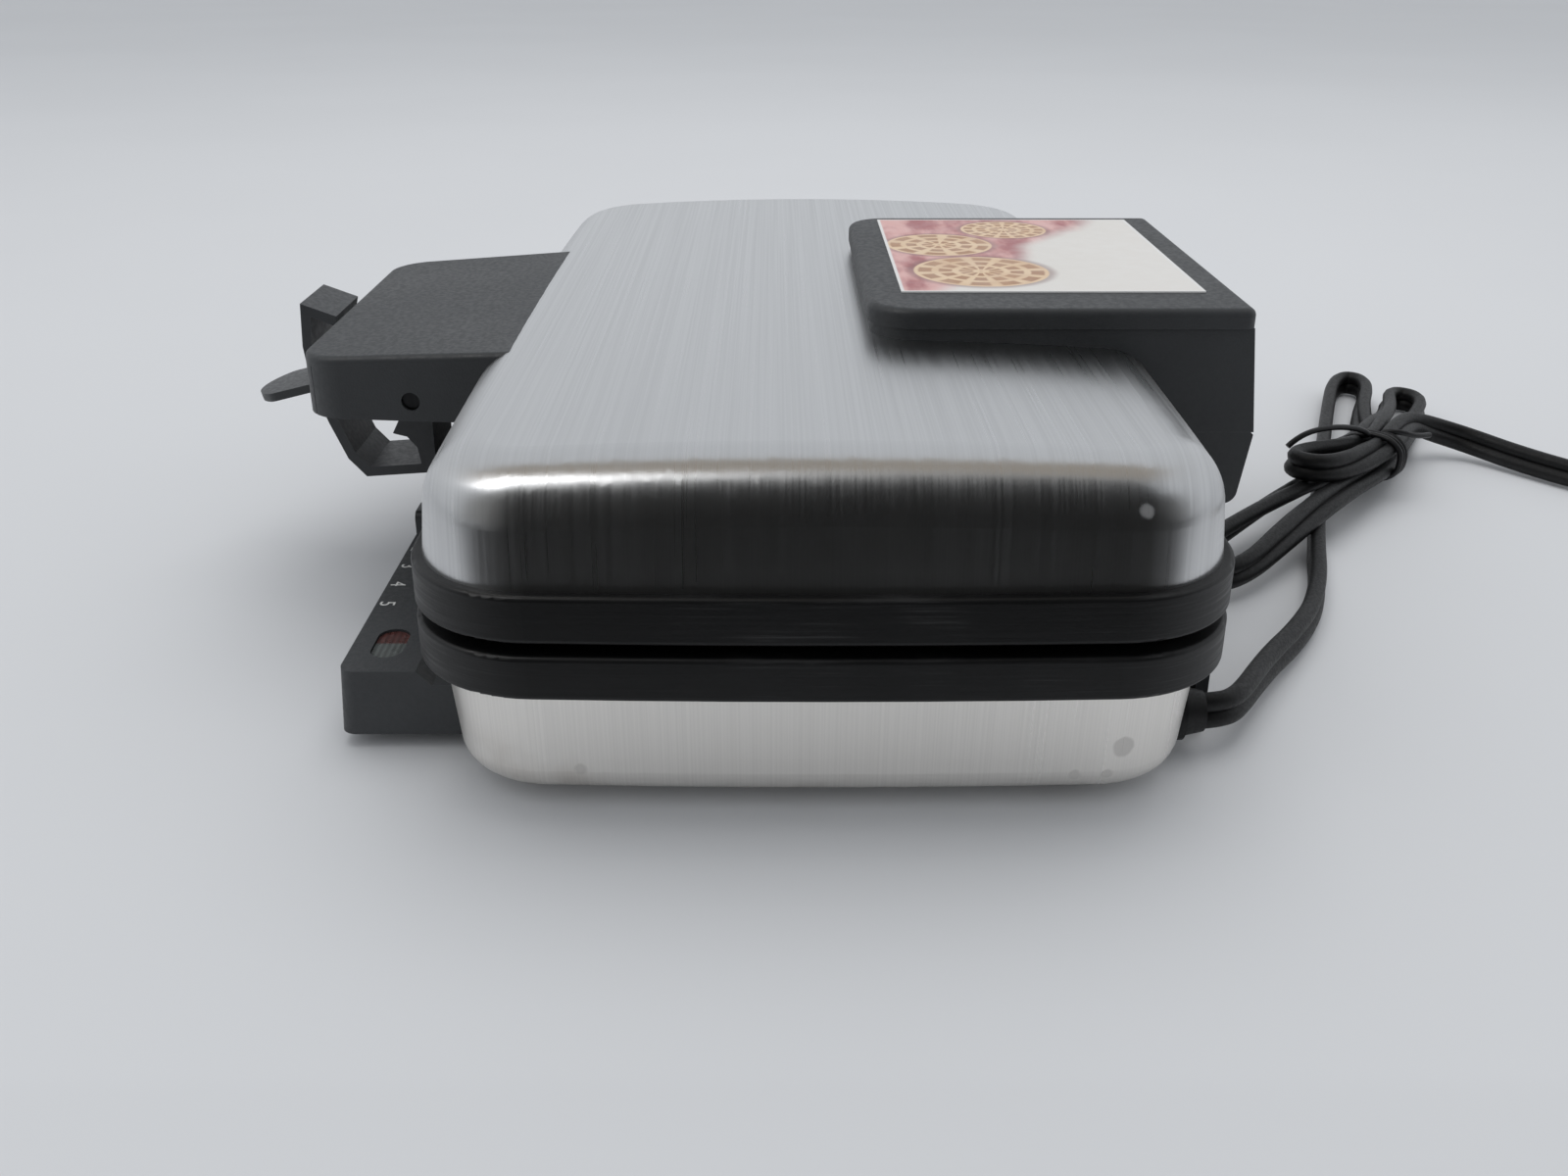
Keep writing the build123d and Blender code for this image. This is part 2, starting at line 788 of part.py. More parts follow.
with BuildPart() as rear_cover_lower:
    with BuildSketch(side()) as lower_side:
        with BuildLine():
            Polyline(
                (cover_front_gap, cover_bottom),
                (cover_front_gap, cover_seam_z),
                (cover_reach - cover_step, cover_seam_z),
                (cover_reach, cover_seam_z - cover_step),
                (cover_reach - cover_wall, cover_bottom),
                close=True,
            )
        make_face()
        fillet(lower_side.vertices().sort_by(Axis.Y)[0:2].sort_by(Axis.X)[-1], cover_bottom_round)
    extrude(amount=base_half, both=True)
    with BuildSketch(side()):
        with BuildLine():
            Polyline(
                (cover_front_gap, cover_bottom + cover_floor),
                (cover_front_gap, cover_seam_z),
                (cover_reach - cover_wall, cover_seam_z),
                (cover_reach - 2 * cover_wall, cover_bottom + cover_floor),
                close=True,
            )
        make_face()
    extrude(amount=cavity_half, both=True, mode=Mode.SUBTRACT)
    with BuildSketch(level(cover_bottom)):
        with Locations((0, (cover_front_gap + cover_lip_y) / 2)):
            Rectangle(2 * cavity_half, cover_lip_y - cover_front_gap)
        with GridLocations(2 * base_arm_centre, 0, 2, 1):
            with Locations((0, (cover_lip_y + cover_reach) / 2)):
                Rectangle(arm_width + 2 * arm_gap, cover_reach - cover_lip_y)
    extrude(amount=cover_slot_height, mode=Mode.SUBTRACT)

with BuildPart() as cover_label:
    with BuildSketch(level(cover_top)):
        with Locations((label_x, cover_front_y + label_front_gap + label_depth / 2)):
            Rectangle(label_width, label_depth)
    extrude(amount=label_thickness)

with BuildPart() as cover_screws:
    for screw_y in cover_screw_ys:
        fall = lid_crown * (screw_y / (ring_depth / 2)) ** 2
        under_lid = lid_top - fall - 2 * pan_wall
        with BuildSketch(level(under_lid)):
            with GridLocations(2 * cover_screw_x, 0, 2, 1):
                with Locations((0, screw_y)):
                    Circle(screw_radius)
        extrude(amount=cover_parting_z - under_lid)
        with BuildSketch(level(under_lid)):
            with GridLocations(2 * cover_screw_x, 0, 2, 1):
                with Locations((0, screw_y)):
                    Circle(screw_head_radius)
        extrude(amount=-screw_head_height)


# Hinge: arms on both rings, on one pin


def hinge_arms(centre, foot_bottom, foot_top, ring_form, bore):
    """Return a pair of arms from a ring's back to knuckles on the hinge line."""
    with BuildPart() as arms:
        with BuildSketch(side(-centre - arm_width / 2)):
            with BuildLine():
                Polyline(
                    (ring_depth / 2 - side_bow, foot_bottom),
                    (ring_depth / 2 - side_bow, foot_top),
                    (hinge_y, hinge_z + hinge_knuckle),
                    (hinge_y, hinge_z - hinge_knuckle),
                    (ring_reach_y + arm_foot_margin, foot_bottom),
                    close=True,
                )
            make_face()
            with Locations((hinge_y, hinge_z)):
                Circle(hinge_knuckle)
        extrude(amount=arm_width)
        add(ring_form, mode=Mode.SUBTRACT)
        with BuildSketch(side(-centre)):
            with Locations((hinge_y, hinge_z)):
                Circle(bore)
        extrude(amount=arm_width, both=True, mode=Mode.SUBTRACT)
        mirror(about=Plane.YZ)
    return arms


base_hinge_arms = hinge_arms(
    base_arm_centre,
    lower_ring_bottom + arm_foot_margin,
    lower_ring_top - arm_foot_margin,
    lower_ring_form,
    hinge_pin_radius,
)
lid_hinge_arms = hinge_arms(
    lid_arm_centre,
    upper_ring_bottom + 2 * arm_foot_margin,
    upper_ring_top - arm_foot_margin,
    upper_ring_form,
    hinge_pin_radius + hinge_running_gap,
)

with BuildPart() as hinge_pin:
    pin_reach = base_arm_centre + arm_width / 2
    with BuildSketch(side(-pin_reach)):
        with Locations((hinge_y, hinge_z)):
            Circle(hinge_pin_radius)
    extrude(amount=2 * pin_reach)
    for head_x in (-pin_reach - hinge_pin_head_height, pin_reach):
        with BuildSketch(side(head_x)):
            with Locations((hinge_y, hinge_z)):
                Circle(hinge_pin_head)
        extrude(amount=hinge_pin_head_height)


# Control housing with its window, lamps, thermostat and slider

with BuildPart() as control_housing:
    with BuildSketch(side()):
        with BuildLine():
            Polyline(
                (-panel_reach, panel_bottom),
                (-panel_top_reach, panel_top),
                (-panel_top_reach + panel_top_depth, panel_top),
                (-panel_top_reach + panel_top_depth + panel_step, panel_top - panel_step),
                (-panel_rear_reach, panel_top - panel_step),
                (-panel_rear_reach, panel_bottom),
                close=True,
            )
        make_face()
    extrude(amount=panel_half_width, both=True)
    fillet(
        control_housing.edges().filter_by(Axis.X, reverse=True).filter_by_position(
            Axis.Y, plate_y - panel_reach - 1, plate_y - panel_top_reach + 1
        ),
        panel_corner,
    )
    with BuildSketch(side()):
        with BuildLine():
            Polyline(
                (-panel_reach + panel_wall, panel_bottom),
                (-panel_top_reach + panel_wall, panel_top - panel_wall),
                (-panel_top_reach + panel_top_depth - panel_wall, panel_top - panel_wall),
                (-panel_top_reach + panel_top_depth, panel_top - panel_step - panel_wall),
                (-panel_rear_reach, panel_top - panel_step - panel_wall),
                (-panel_rear_reach, panel_bottom),
                close=True,
            )
        make_face()
    extrude(amount=panel_half_width - panel_wall, both=True, mode=Mode.SUBTRACT)
    with BuildSketch(level(panel_bottom + panel_cover_thickness)):
        with GridLocations(2 * panel_screw_x, 0, 2, 1):
            with Locations((0, panel_screw_y)):
                Circle(panel_boss_radius)
    extrude(amount=panel_top - panel_wall - panel_bottom - panel_cover_thickness)
    with BuildSketch(level(panel_bottom)):
        with GridLocations(2 * panel_screw_x, 0, 2, 1):
            with Locations((0, panel_screw_y)):
                Circle(screw_radius)
    extrude(amount=panel_top - panel_bottom - 2 * panel_wall, mode=Mode.SUBTRACT)
    with BuildSketch(level(panel_top)):
        with Locations((window_x, window_y)):
            SlotOverall(window_length, window_width)
    extrude(amount=-panel_wall, mode=Mode.SUBTRACT)
    with BuildSketch(facing_back(-panel_reach - 1)):
        with Locations((-slider_start_x - slider_travel / 2, slot_z)):
            Rectangle(slider_travel + slider_neck_width + 2 * slider_gap, slot_height)
    extrude(amount=panel_wall + 3, mode=Mode.SUBTRACT)
    add(base_form, mode=Mode.SUBTRACT)

with BuildPart() as control_housing_cover:
    cover_front = -panel_reach + panel_wall + panel_cover_gap
    with BuildSketch(level(panel_bottom)):
        with Locations((0, (cover_front - panel_rear_reach) / 2)):
            Rectangle(
                2 * (panel_half_width - panel_wall - panel_cover_gap),
                -panel_rear_reach - cover_front,
            )
        with GridLocations(2 * panel_screw_x, 0, 2, 1):
            with Locations((0, panel_screw_y)):
                Circle(screw_radius, mode=Mode.SUBTRACT)
    extrude(amount=panel_cover_thickness)
    add(base_form, mode=Mode.SUBTRACT)

with BuildPart() as panel_screws:
    with BuildSketch(level(panel_bottom)):
        with GridLocations(2 * panel_screw_x, 0, 2, 1):
            with Locations((0, panel_screw_y)):
                Circle(screw_radius)
    extrude(amount=panel_top - panel_bottom - 3 * panel_wall)
    with BuildSketch(level(panel_bottom)):
        with GridLocations(2 * panel_screw_x, 0, 2, 1):
            with Locations((0, panel_screw_y)):
                Circle(screw_head_radius)
    extrude(amount=-screw_head_height)


def window_half(near_x, far_x):
    """Return the part of the window's lens between two distances across the machine."""
    glass_top = panel_top - window_recess
    inner_face = panel_top - panel_wall
    with BuildPart() as lens:
        with BuildSketch(level(glass_top)):
            with Locations((window_x, window_y)):
                SlotOverall(window_length - 2 * window_gap, window_width - 2 * window_gap)
        extrude(amount=inner_face - glass_top)
        with BuildSketch(level(inner_face)):
            with Locations((window_x, window_y)):
                SlotOverall(window_length + 2 * window_flange, window_width + 2 * window_flange)
        extrude(amount=-window_flange_height)
        with BuildSketch(level(glass_top)):
            with Locations(((near_x + far_x) / 2, window_y)):
                Rectangle(far_x - near_x, 2 * window_width)
        extrude(amount=-panel_wall - window_flange_height, mode=Mode.INTERSECT)
    return lens


indicator_red_lens = window_half(window_x - window_length, window_split_x)
indicator_green_lens = window_half(window_split_x, window_x + window_length)

with BuildPart() as indicator_lamps:
    lamp_top = panel_top - panel_wall - window_flange_height
    with BuildSketch(level(lamp_top)):
        with Locations((window_x, window_y)):
            with GridLocations(lamp_spacing, 0, 2, 1):
                Circle(lamp_radius)
    extrude(amount=-lamp_height)

with BuildPart() as thermostat:
    thermostat_y = -panel_top_reach + panel_wall + thermostat_margin + thermostat_depth / 2
    with BuildSketch(level(panel_top - panel_wall)):
        with Locations((0, thermostat_y)):
            Rectangle(thermostat_width, thermostat_depth)
    extrude(amount=-thermostat_height)
    with BuildSketch(side()):
        with Locations((thermostat_y, slot_z)):
            Circle(thermostat_rod_radius)
    extrude(amount=thermostat_width / 2 + thermostat_rod, both=True)

with BuildPart() as temperature_slider:
    face_slope = (panel_reach - panel_top_reach) / (panel_top - panel_bottom)
    face_y = -panel_reach + face_slope * (slot_z - panel_bottom)
    knob_back = face_y - slider_gap - face_slope * slider_knob_height / 2
    flange_front = face_y + panel_wall + slider_gap + face_slope * slider_knob_height / 2
    with BuildSketch(facing_back(knob_back - slider_knob_depth)):
        with Locations((-slider_start_x, slot_z)):
            RectangleRounded(slider_knob_width, slider_knob_height, slider_flange)
    extrude(amount=slider_knob_depth)
    with BuildSketch(facing_back(knob_back)):
        with Locations((-slider_start_x, slot_z)):
            Rectangle(slider_neck_width, slot_height - 2 * slider_gap)
    extrude(amount=flange_front - knob_back)
    with BuildSketch(facing_back(flange_front)):
        with Locations((-slider_start_x, slot_z)):
            Rectangle(
                slider_neck_width + 2 * slider_flange,
                slot_height - 2 * slider_gap + 2 * slider_flange,
            )
    extrude(amount=slider_flange_depth)


# Feet, cord posts, strain relief and terminals

with BuildPart() as rubber_feet:
    with BuildSketch(level(base_floor)):
        with GridLocations(2 * foot_x, 2 * foot_y, 2, 2):
            Circle(foot_radius)
    extrude(amount=-base_floor)
    chamfer(rubber_feet.edges().group_by(Axis.Z)[0], foot_radius - foot_tip_radius)
    with BuildSketch(level(0)):
        with GridLocations(2 * foot_x, 2 * foot_y, 2, 2):
            Circle(foot_recess_radius)
    extrude(amount=foot_recess, mode=Mode.SUBTRACT)
    with BuildSketch(level(0)):
        with GridLocations(2 * foot_x, 2 * foot_y, 2, 2):
            Circle(foot_screw_radius)
    extrude(amount=base_floor, mode=Mode.SUBTRACT)

with BuildPart() as foot_screws:
    with BuildSketch(level(foot_recess)):
        with GridLocations(2 * foot_x, 2 * foot_y, 2, 2):
            Circle(foot_screw_radius)
    extrude(amount=base_floor - foot_recess + foot_screw_length)
    with BuildSketch(level(foot_recess)):
        with GridLocations(2 * foot_x, 2 * foot_y, 2, 2):
            Circle(foot_screw_head)
    extrude(amount=-foot_recess / 2)

with BuildPart() as cord_posts:
    with BuildSketch(facing_back(post_reach - post_plate_thickness)):
        with GridLocations(2 * post_x, 0, 2, 1):
            with Locations((0, post_z)):
                RectangleRounded(post_plate_width, post_plate_height, post_plate_thickness)
    extrude(amount=post_plate_thickness)
    with BuildSketch(facing_back(post_reach - post_plate_thickness)):
        with GridLocations(2 * post_x, 0, 2, 1):
            with Locations((0, post_z)):
                Circle(post_stem / 2)
    extrude(amount=-post_reach / 3)
    add(base_form, mode=Mode.SUBTRACT)

with BuildPart() as strain_relief:
    with BuildSketch(facing_back(relief_flange_y)):
        with Locations((-relief_x, relief_z)):
            Circle(relief_flange_radius)
    extrude(amount=relief_flange_thickness)
    with BuildSketch(facing_back(relief_flange_y + relief_flange_thickness)):
        with Locations((-relief_x, relief_z)):
            Circle(relief_root_radius)
    with BuildSketch(facing_back(relief_reach)):
        with Locations((-relief_x, relief_z)):
            Circle(relief_tip_radius)
    loft()
    add(base_form, mode=Mode.SUBTRACT)
    with BuildSketch(facing_back(relief_inner_y)):
        with Locations((-relief_x, relief_z)):
            Circle(relief_neck_radius)
    extrude(amount=relief_flange_y + relief_flange_thickness - relief_inner_y)

with BuildPart() as terminal_block:
    with BuildSketch(level(base_floor + pan_wall)):
        with Locations((terminal_x, terminal_y)):
            Rectangle(terminal_size[0], terminal_size[1])
    extrude(amount=terminal_size[2])
    with BuildSketch(level(base_floor + pan_wall + terminal_size[2])):
        with Locations((terminal_x, terminal_y)):
            with GridLocations(terminal_size[0] / 3, 0, 3, 1):
                Circle(screw_radius)
    extrude(amount=-terminal_size[2] / 2, mode=Mode.SUBTRACT)


# Mains cord: a lead from the strain relief, a hank of four folds, and a tail with its plug.
# The lead's stretch to the first fold lies beside the tie; the other four stretches go through it.

row_step = 2 * cord_radius + cord_gap
next_column = row_step + waist_spread
low = waist_height
high = low + row_step
along = Vector(math.cos(math.radians(hank_angle)), math.sin(math.radians(hank_angle)), 0)
beside = Vector(math.sin(math.radians(hank_angle)), -math.cos(math.radians(hank_angle)), 0)


def in_hank(reach, offset, height):
    """Return a point given along the hank, beside the tie's first column and above the table."""
    return place(waist_x, waist_y, height) + along * reach + beside * offset


def fold(reach, first_offset, across, first_height, second_height):
    """Return the two corners of a fold at the hank's end, which goes across by a signed width."""
    return [
        in_hank(reach, first_offset, first_height),
        in_hank(reach, first_offset + across, second_height),
    ]


lead_points = [
    place(relief_x, relief_reach, relief_z),
    place(relief_x - 0.1, relief_reach + 2.8, 8.9),
    place(relief_x - 2.1, relief_reach + 6.6, 8.8),
    place(94.0, 84.2, 8.5),
    place(86.2, 88.9, 7.8),
    place(75.5, 95.6, 6.7),
    place(62.3, 105.0, 5.4),
    place(48.0, 113.7, 4.4),
    place(30.5, 121.0, 3.9),
    place(10.5, 127.2, 3.6),
    place(-10.0, 134.2, 3.0),
]
hank_points = (
    [place(-50.0, 148.8, 3.0), place(-96.0, 166.0, 3.7)]
    + fold(89.0, -42.0, narrow_fold, 4.0, 4.4)
    + [in_hank(55.0, -20.0, 4.6), in_hank(28.0, -8.0, 6.2), in_hank(0, 0.6, low)]
    + [in_hank(-27.0, -1.2, 9.3), in_hank(-60.0, -3.5, 8.8)]
    + fold(-97.0, -6.5, wide_fold, 6.4, 6.4)
    + [in_hank(-60.0, 7.6, 9.3), in_hank(-30.0, 7.0, 9.4), in_hank(0, next_column, low)]
    + [in_hank(28.0, 0.5, 5.4), in_hank(55.0, -3.5, 4.2)]
    + fold(82.5, -9.3, -narrow_fold, 4.0, 4.2)
    + [in_hank(58.0, -12.5, 6.4), in_hank(28.0, -5.5, 12.6), in_hank(0, 1.3, high)]
    + fold(-36.0, -9.0, wide_fold, 15.4, 15.4)
    + [in_hank(0, next_column, high), in_hank(18.0, 4.2, 14.0)]
)
tail_points = [
    in_hank(34.0, 2.2, 12.0),
    place(-71.0, 187.5, 9.0),
    place(-70.0, 199.0, 5.6),
    place(-57.5, 208.5, 4.2),
    place(-44.0, 218.5, 3.9),
    place(-30.5, 231.0, 4.0),
    place(-17.5, 243.0, 5.0),
]
plug_entry = place(-5.0, 254.5, plug_height / 2)


def corner_radius(before, corner, after):
    """Return the largest arc that two runs of the route leave room for."""
    turn = (corner - before).get_angle(after - corner)
    shorter = min((corner - before).length, (after - corner).length)
    return 0.45 * shorter / math.tan(math.radians(turn / 2))


def cord_tube(points):
    """Return a tube along straight runs joined by tangent arcs, and the line that it follows."""
    radii = [
        corner_radius(points[i - 1], points[i], points[i + 1]) for i in range(1, len(points) - 1)
    ]
    with BuildPart() as tube:
        with BuildLine():
            line = FilletPolyline(*points, radius=radii)
        with BuildSketch(Plane(origin=line @ 0, z_dir=line % 0)):
            Circle(cord_radius)
        sweep()
    section = math.pi * cord_radius**2
    print(
        f"tube of {line.length:.0f} mm, volume ratio "
        f"{tube.part.volume / (section * line.length):.4f}, radii "
        + " ".join(f"{radius:.0f}" for radius in radii)
    )
    return tube, line


def least_gap(line):
    """Return the smallest clear distance between stretches of a line that are not neighbours."""
    count = int(line.length / 2)
    points = [line @ (i / count) for i in range(count + 1)]
    apart = int(5 * cord_radius)
    near = min(
        (points[i] - points[j]).length
        for i in range(count + 1)
        for j in range(i + apart, count + 1)
    )
    return near - 2 * cord_radius


lead_joint = (lead_points[-1] + hank_points[0]) * 0.5
tail_joint = (hank_points[-1] + tail_points[0]) * 0.5
cord_lead, lead_line = cord_tube(lead_points + [lead_joint])
cord_hank, hank_line = cord_tube([lead_joint] + hank_points + [tail_joint])
cord_tail, tail_line = cord_tube([tail_joint] + tail_points + [plug_entry])
print(f"cord length {lead_line.length + hank_line.length + tail_line.length:.0f} mm")
print(f"least gap in the hank {least_gap(hank_line):.2f} mm")

with BuildPart() as twist_tie:
    tie_left = -cord_radius - tie_clearance
    tie_right = next_column + cord_radius + tie_clearance
    tie_low = low - cord_radius - tie_clearance
    tie_high = high + cord_radius + tie_clearance
    tie_centre = in_hank(0, (tie_left + tie_right) / 2, (tie_low + tie_high) / 2)
    with BuildSketch(Plane(origin=tie_centre, x_dir=beside, z_dir=along)):
        RectangleRounded(
            tie_right - tie_left + 2 * tie_wire, tie_high - tie_low + 2 * tie_wire, cord_radius
        )
        RectangleRounded(
            tie_right - tie_left, tie_high - tie_low, cord_radius - tie_wire, mode=Mode.SUBTRACT
        )
    extrude(amount=tie_width / 2, both=True)

plug_way = (plug_entry - tail_points[-1]).normalized()
plug_way = Vector(plug_way.X, plug_way.Y, 0).normalized()
plug_plane = Plane(origin=plug_entry, x_dir=plug_way.cross(Vector(0, 0, 1)), z_dir=plug_way)

with BuildPart() as plug_body:
    with BuildSketch(plug_plane):
        Rectangle(plug_width, plug_height)
    extrude(amount=plug_length)
    fillet(plug_body.edges(), plug_edge)

with BuildPart() as plug_blades:
    with BuildSketch(plug_plane.offset(plug_length)):
        with GridLocations(blade_spacing, 0, 2, 1):
            Rectangle(blade_thickness, blade_width)
    extrude(amount=blade_length)


pieces = {
    "base_shell": base_shell,
    "lower_ring": lower_ring,
    "lower_grid_plate": lower_grid_plate,
    "lower_heating_element": lower_heating_element,
    "lower_element_straps": lower_element_straps,
    "lower_strap_screws": lower_strap_screws,
    "lower_heat_reflector": lower_heat_reflector,
    "control_housing": control_housing,
    "control_housing_cover": control_housing_cover,
    "panel_screws": panel_screws,
    "thermostat": thermostat,
    "indicator_red_lens": indicator_red_lens,
    "indicator_green_lens": indicator_green_lens,
    "indicator_lamps": indicator_lamps,
    "temperature_slider": temperature_slider,
    "latch_catch": latch_catch,
    "base_hinge_arms": base_hinge_arms,
    "hinge_pin": hinge_pin,
    "cord_posts": cord_posts,
    "strain_relief": strain_relief,
    "terminal_block": terminal_block,
    "rubber_feet": rubber_feet,
    "foot_screws": foot_screws,
    "lid_shell": lid_shell,
    "upper_ring": upper_ring,
    "upper_grid_plate": upper_grid_plate,
    "upper_heating_element": upper_heating_element,
    "upper_element_straps": upper_element_straps,
    "upper_strap_screws": upper_strap_screws,
    "upper_heat_reflector": upper_heat_reflector,
    "handle_shell": handle_shell,
    "handle_screws": handle_screws,
    "latch_pin": latch_pin,
    "latch_loop": latch_loop,
    "rear_cover_top": rear_cover_top,
    "rear_cover_base": rear_cover_base,
    "rear_cover_lower": rear_cover_lower,
    "cover_screws": cover_screws,
    "cover_label": cover_label,
    "lid_hinge_arms": lid_hinge_arms,
    "cord_lead": cord_lead,
    "cord_hank": cord_hank,
    "cord_tail": cord_tail,
    "twist_tie": twist_tie,
    "plug_body": plug_body,
    "plug_blades": plug_blades,
}

os.makedirs("parts", exist_ok=True)
for name, piece in pieces.items():
    piece.part.label = name
    export_step(piece.part, f"parts/{name}.step")
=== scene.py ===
"""Dress a countertop pizzelle maker: its finishes, printed panel, mains cord, camera and light."""

import math

import bpy
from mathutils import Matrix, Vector


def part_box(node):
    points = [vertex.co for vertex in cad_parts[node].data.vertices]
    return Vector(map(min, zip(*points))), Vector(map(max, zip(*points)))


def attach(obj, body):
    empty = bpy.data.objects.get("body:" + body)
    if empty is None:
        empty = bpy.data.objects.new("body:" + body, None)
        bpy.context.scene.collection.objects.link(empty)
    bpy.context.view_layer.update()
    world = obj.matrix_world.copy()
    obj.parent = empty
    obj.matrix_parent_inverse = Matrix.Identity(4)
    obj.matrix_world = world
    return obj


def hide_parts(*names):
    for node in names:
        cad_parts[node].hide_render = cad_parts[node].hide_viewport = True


bl_info = {
    "name": "Pizzelle Maker Dressing",
    "version": (1, 0, 0),
    "blender": (4, 5, 0),
    "location": "3D View > Sidebar > Pizzelle Maker",
    "description": "Finishes, cord and print for a countertop pizzelle maker",
    "category": "Object",
}

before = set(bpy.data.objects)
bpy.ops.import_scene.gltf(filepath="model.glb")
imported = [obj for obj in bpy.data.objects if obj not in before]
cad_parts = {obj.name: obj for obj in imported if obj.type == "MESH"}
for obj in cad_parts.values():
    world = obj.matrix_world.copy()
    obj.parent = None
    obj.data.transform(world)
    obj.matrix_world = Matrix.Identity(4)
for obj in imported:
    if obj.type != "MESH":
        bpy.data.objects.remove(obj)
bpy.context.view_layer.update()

MM = 0.001

# How far the middle of the baking plates lies behind the origin, in millimetres
PLATE_Y = 20.3

panel_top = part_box("control_housing")[1].z
label_low, label_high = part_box("cover_label")


# Sizes and colours that a user would change


class PIZZELLE_PG_cord(bpy.types.PropertyGroup):
    """Sizes of the flat twin mains cord."""

    width: bpy.props.FloatProperty(
        name="Width", description="Across both conductors", default=7.6 * MM, unit="LENGTH"
    )
    thickness: bpy.props.FloatProperty(
        name="Thickness", description="Over one conductor", default=4.0 * MM, unit="LENGTH"
    )
    web: bpy.props.FloatProperty(
        name="Web", description="Thickness between the conductors", default=1.5 * MM, unit="LENGTH"
    )
    colour: bpy.props.FloatVectorProperty(
        name="Colour", description="Vinyl of the cord", default=(0.0045, 0.0045, 0.0048),
        subtype="COLOR",
    )


class PIZZELLE_PG_print(bpy.types.PropertyGroup):
    """Sizes of the printed scale on the control housing."""

    digit_height: bpy.props.FloatProperty(
        name="Digit Height", description="Height of a number", default=3.3 * MM, unit="LENGTH"
    )
    ink_thickness: bpy.props.FloatProperty(
        name="Ink", description="How far the ink stands up", default=0.04 * MM, unit="LENGTH"
    )
    colour: bpy.props.FloatVectorProperty(
        name="Colour", description="Ink of the numbers", default=(0.62, 0.62, 0.6),
        subtype="COLOR",
    )


class PIZZELLE_PG_finish(bpy.types.PropertyGroup):
    """Colours of the main finishes."""

    steel: bpy.props.FloatVectorProperty(
        name="Lid Steel", description="Brushed sheet of the lid", default=(0.64, 0.645, 0.65),
        subtype="COLOR",
    )
    base_steel: bpy.props.FloatVectorProperty(
        name="Base Steel", description="Brushed sheet of the base pan",
        default=(0.90, 0.875, 0.835), subtype="COLOR",
    )
    plastic: bpy.props.FloatVectorProperty(
        name="Plastic", description="Moulded housings", default=(0.028, 0.030, 0.032),
        subtype="COLOR",
    )
    ring: bpy.props.FloatVectorProperty(
        name="Ring", description="Rings round the plates", default=(0.005, 0.0051, 0.0054),
        subtype="COLOR",
    )


class PIZZELLE_PG_stage(bpy.types.PropertyGroup):
    """Places and strengths of the camera, floor and light."""

    eye: bpy.props.FloatVectorProperty(
        name="Eye", description="Place of the camera", default=(0.3495, 0.0117, 0.1485),
        subtype="TRANSLATION", unit="LENGTH",
    )
    pitch: bpy.props.FloatProperty(
        name="Pitch", description="How far the camera looks down", default=math.radians(24.57),
        subtype="ANGLE",
    )
    lens: bpy.props.FloatProperty(
        name="Lens", description="Focal length on a 36 mm sensor, in millimetres", default=33.75
    )
    shift: bpy.props.FloatProperty(
        name="Shift", description="Sideways shift of the frame", default=0.00625
    )
    sky: bpy.props.FloatProperty(
        name="Sky", description="Strength of the light from all round", default=0.72, min=0.0
    )
    backdrop: bpy.props.FloatProperty(
        name="Backdrop", description="Level of the sky where the camera sees it", default=0.72,
        min=0.0,
    )
    sky_colour: bpy.props.FloatVectorProperty(
        name="Sky Colour", description="Tone of the light from all round",
        default=(0.93, 0.96, 1.0), subtype="COLOR",
    )
    lamp: bpy.props.FloatProperty(
        name="Lamp", description="Power of the soft lamp overhead", default=7.0, unit="POWER"
    )
    floor_colour: bpy.props.FloatVectorProperty(
        name="Floor", description="Paint of the floor", default=(0.66, 0.665, 0.675),
        subtype="COLOR",
    )


GROUPS = {
    "pizzelle_cord": PIZZELLE_PG_cord,
    "pizzelle_print": PIZZELLE_PG_print,
    "pizzelle_finish": PIZZELLE_PG_finish,
    "pizzelle_stage": PIZZELLE_PG_stage,
}


# Node work that every finish shares


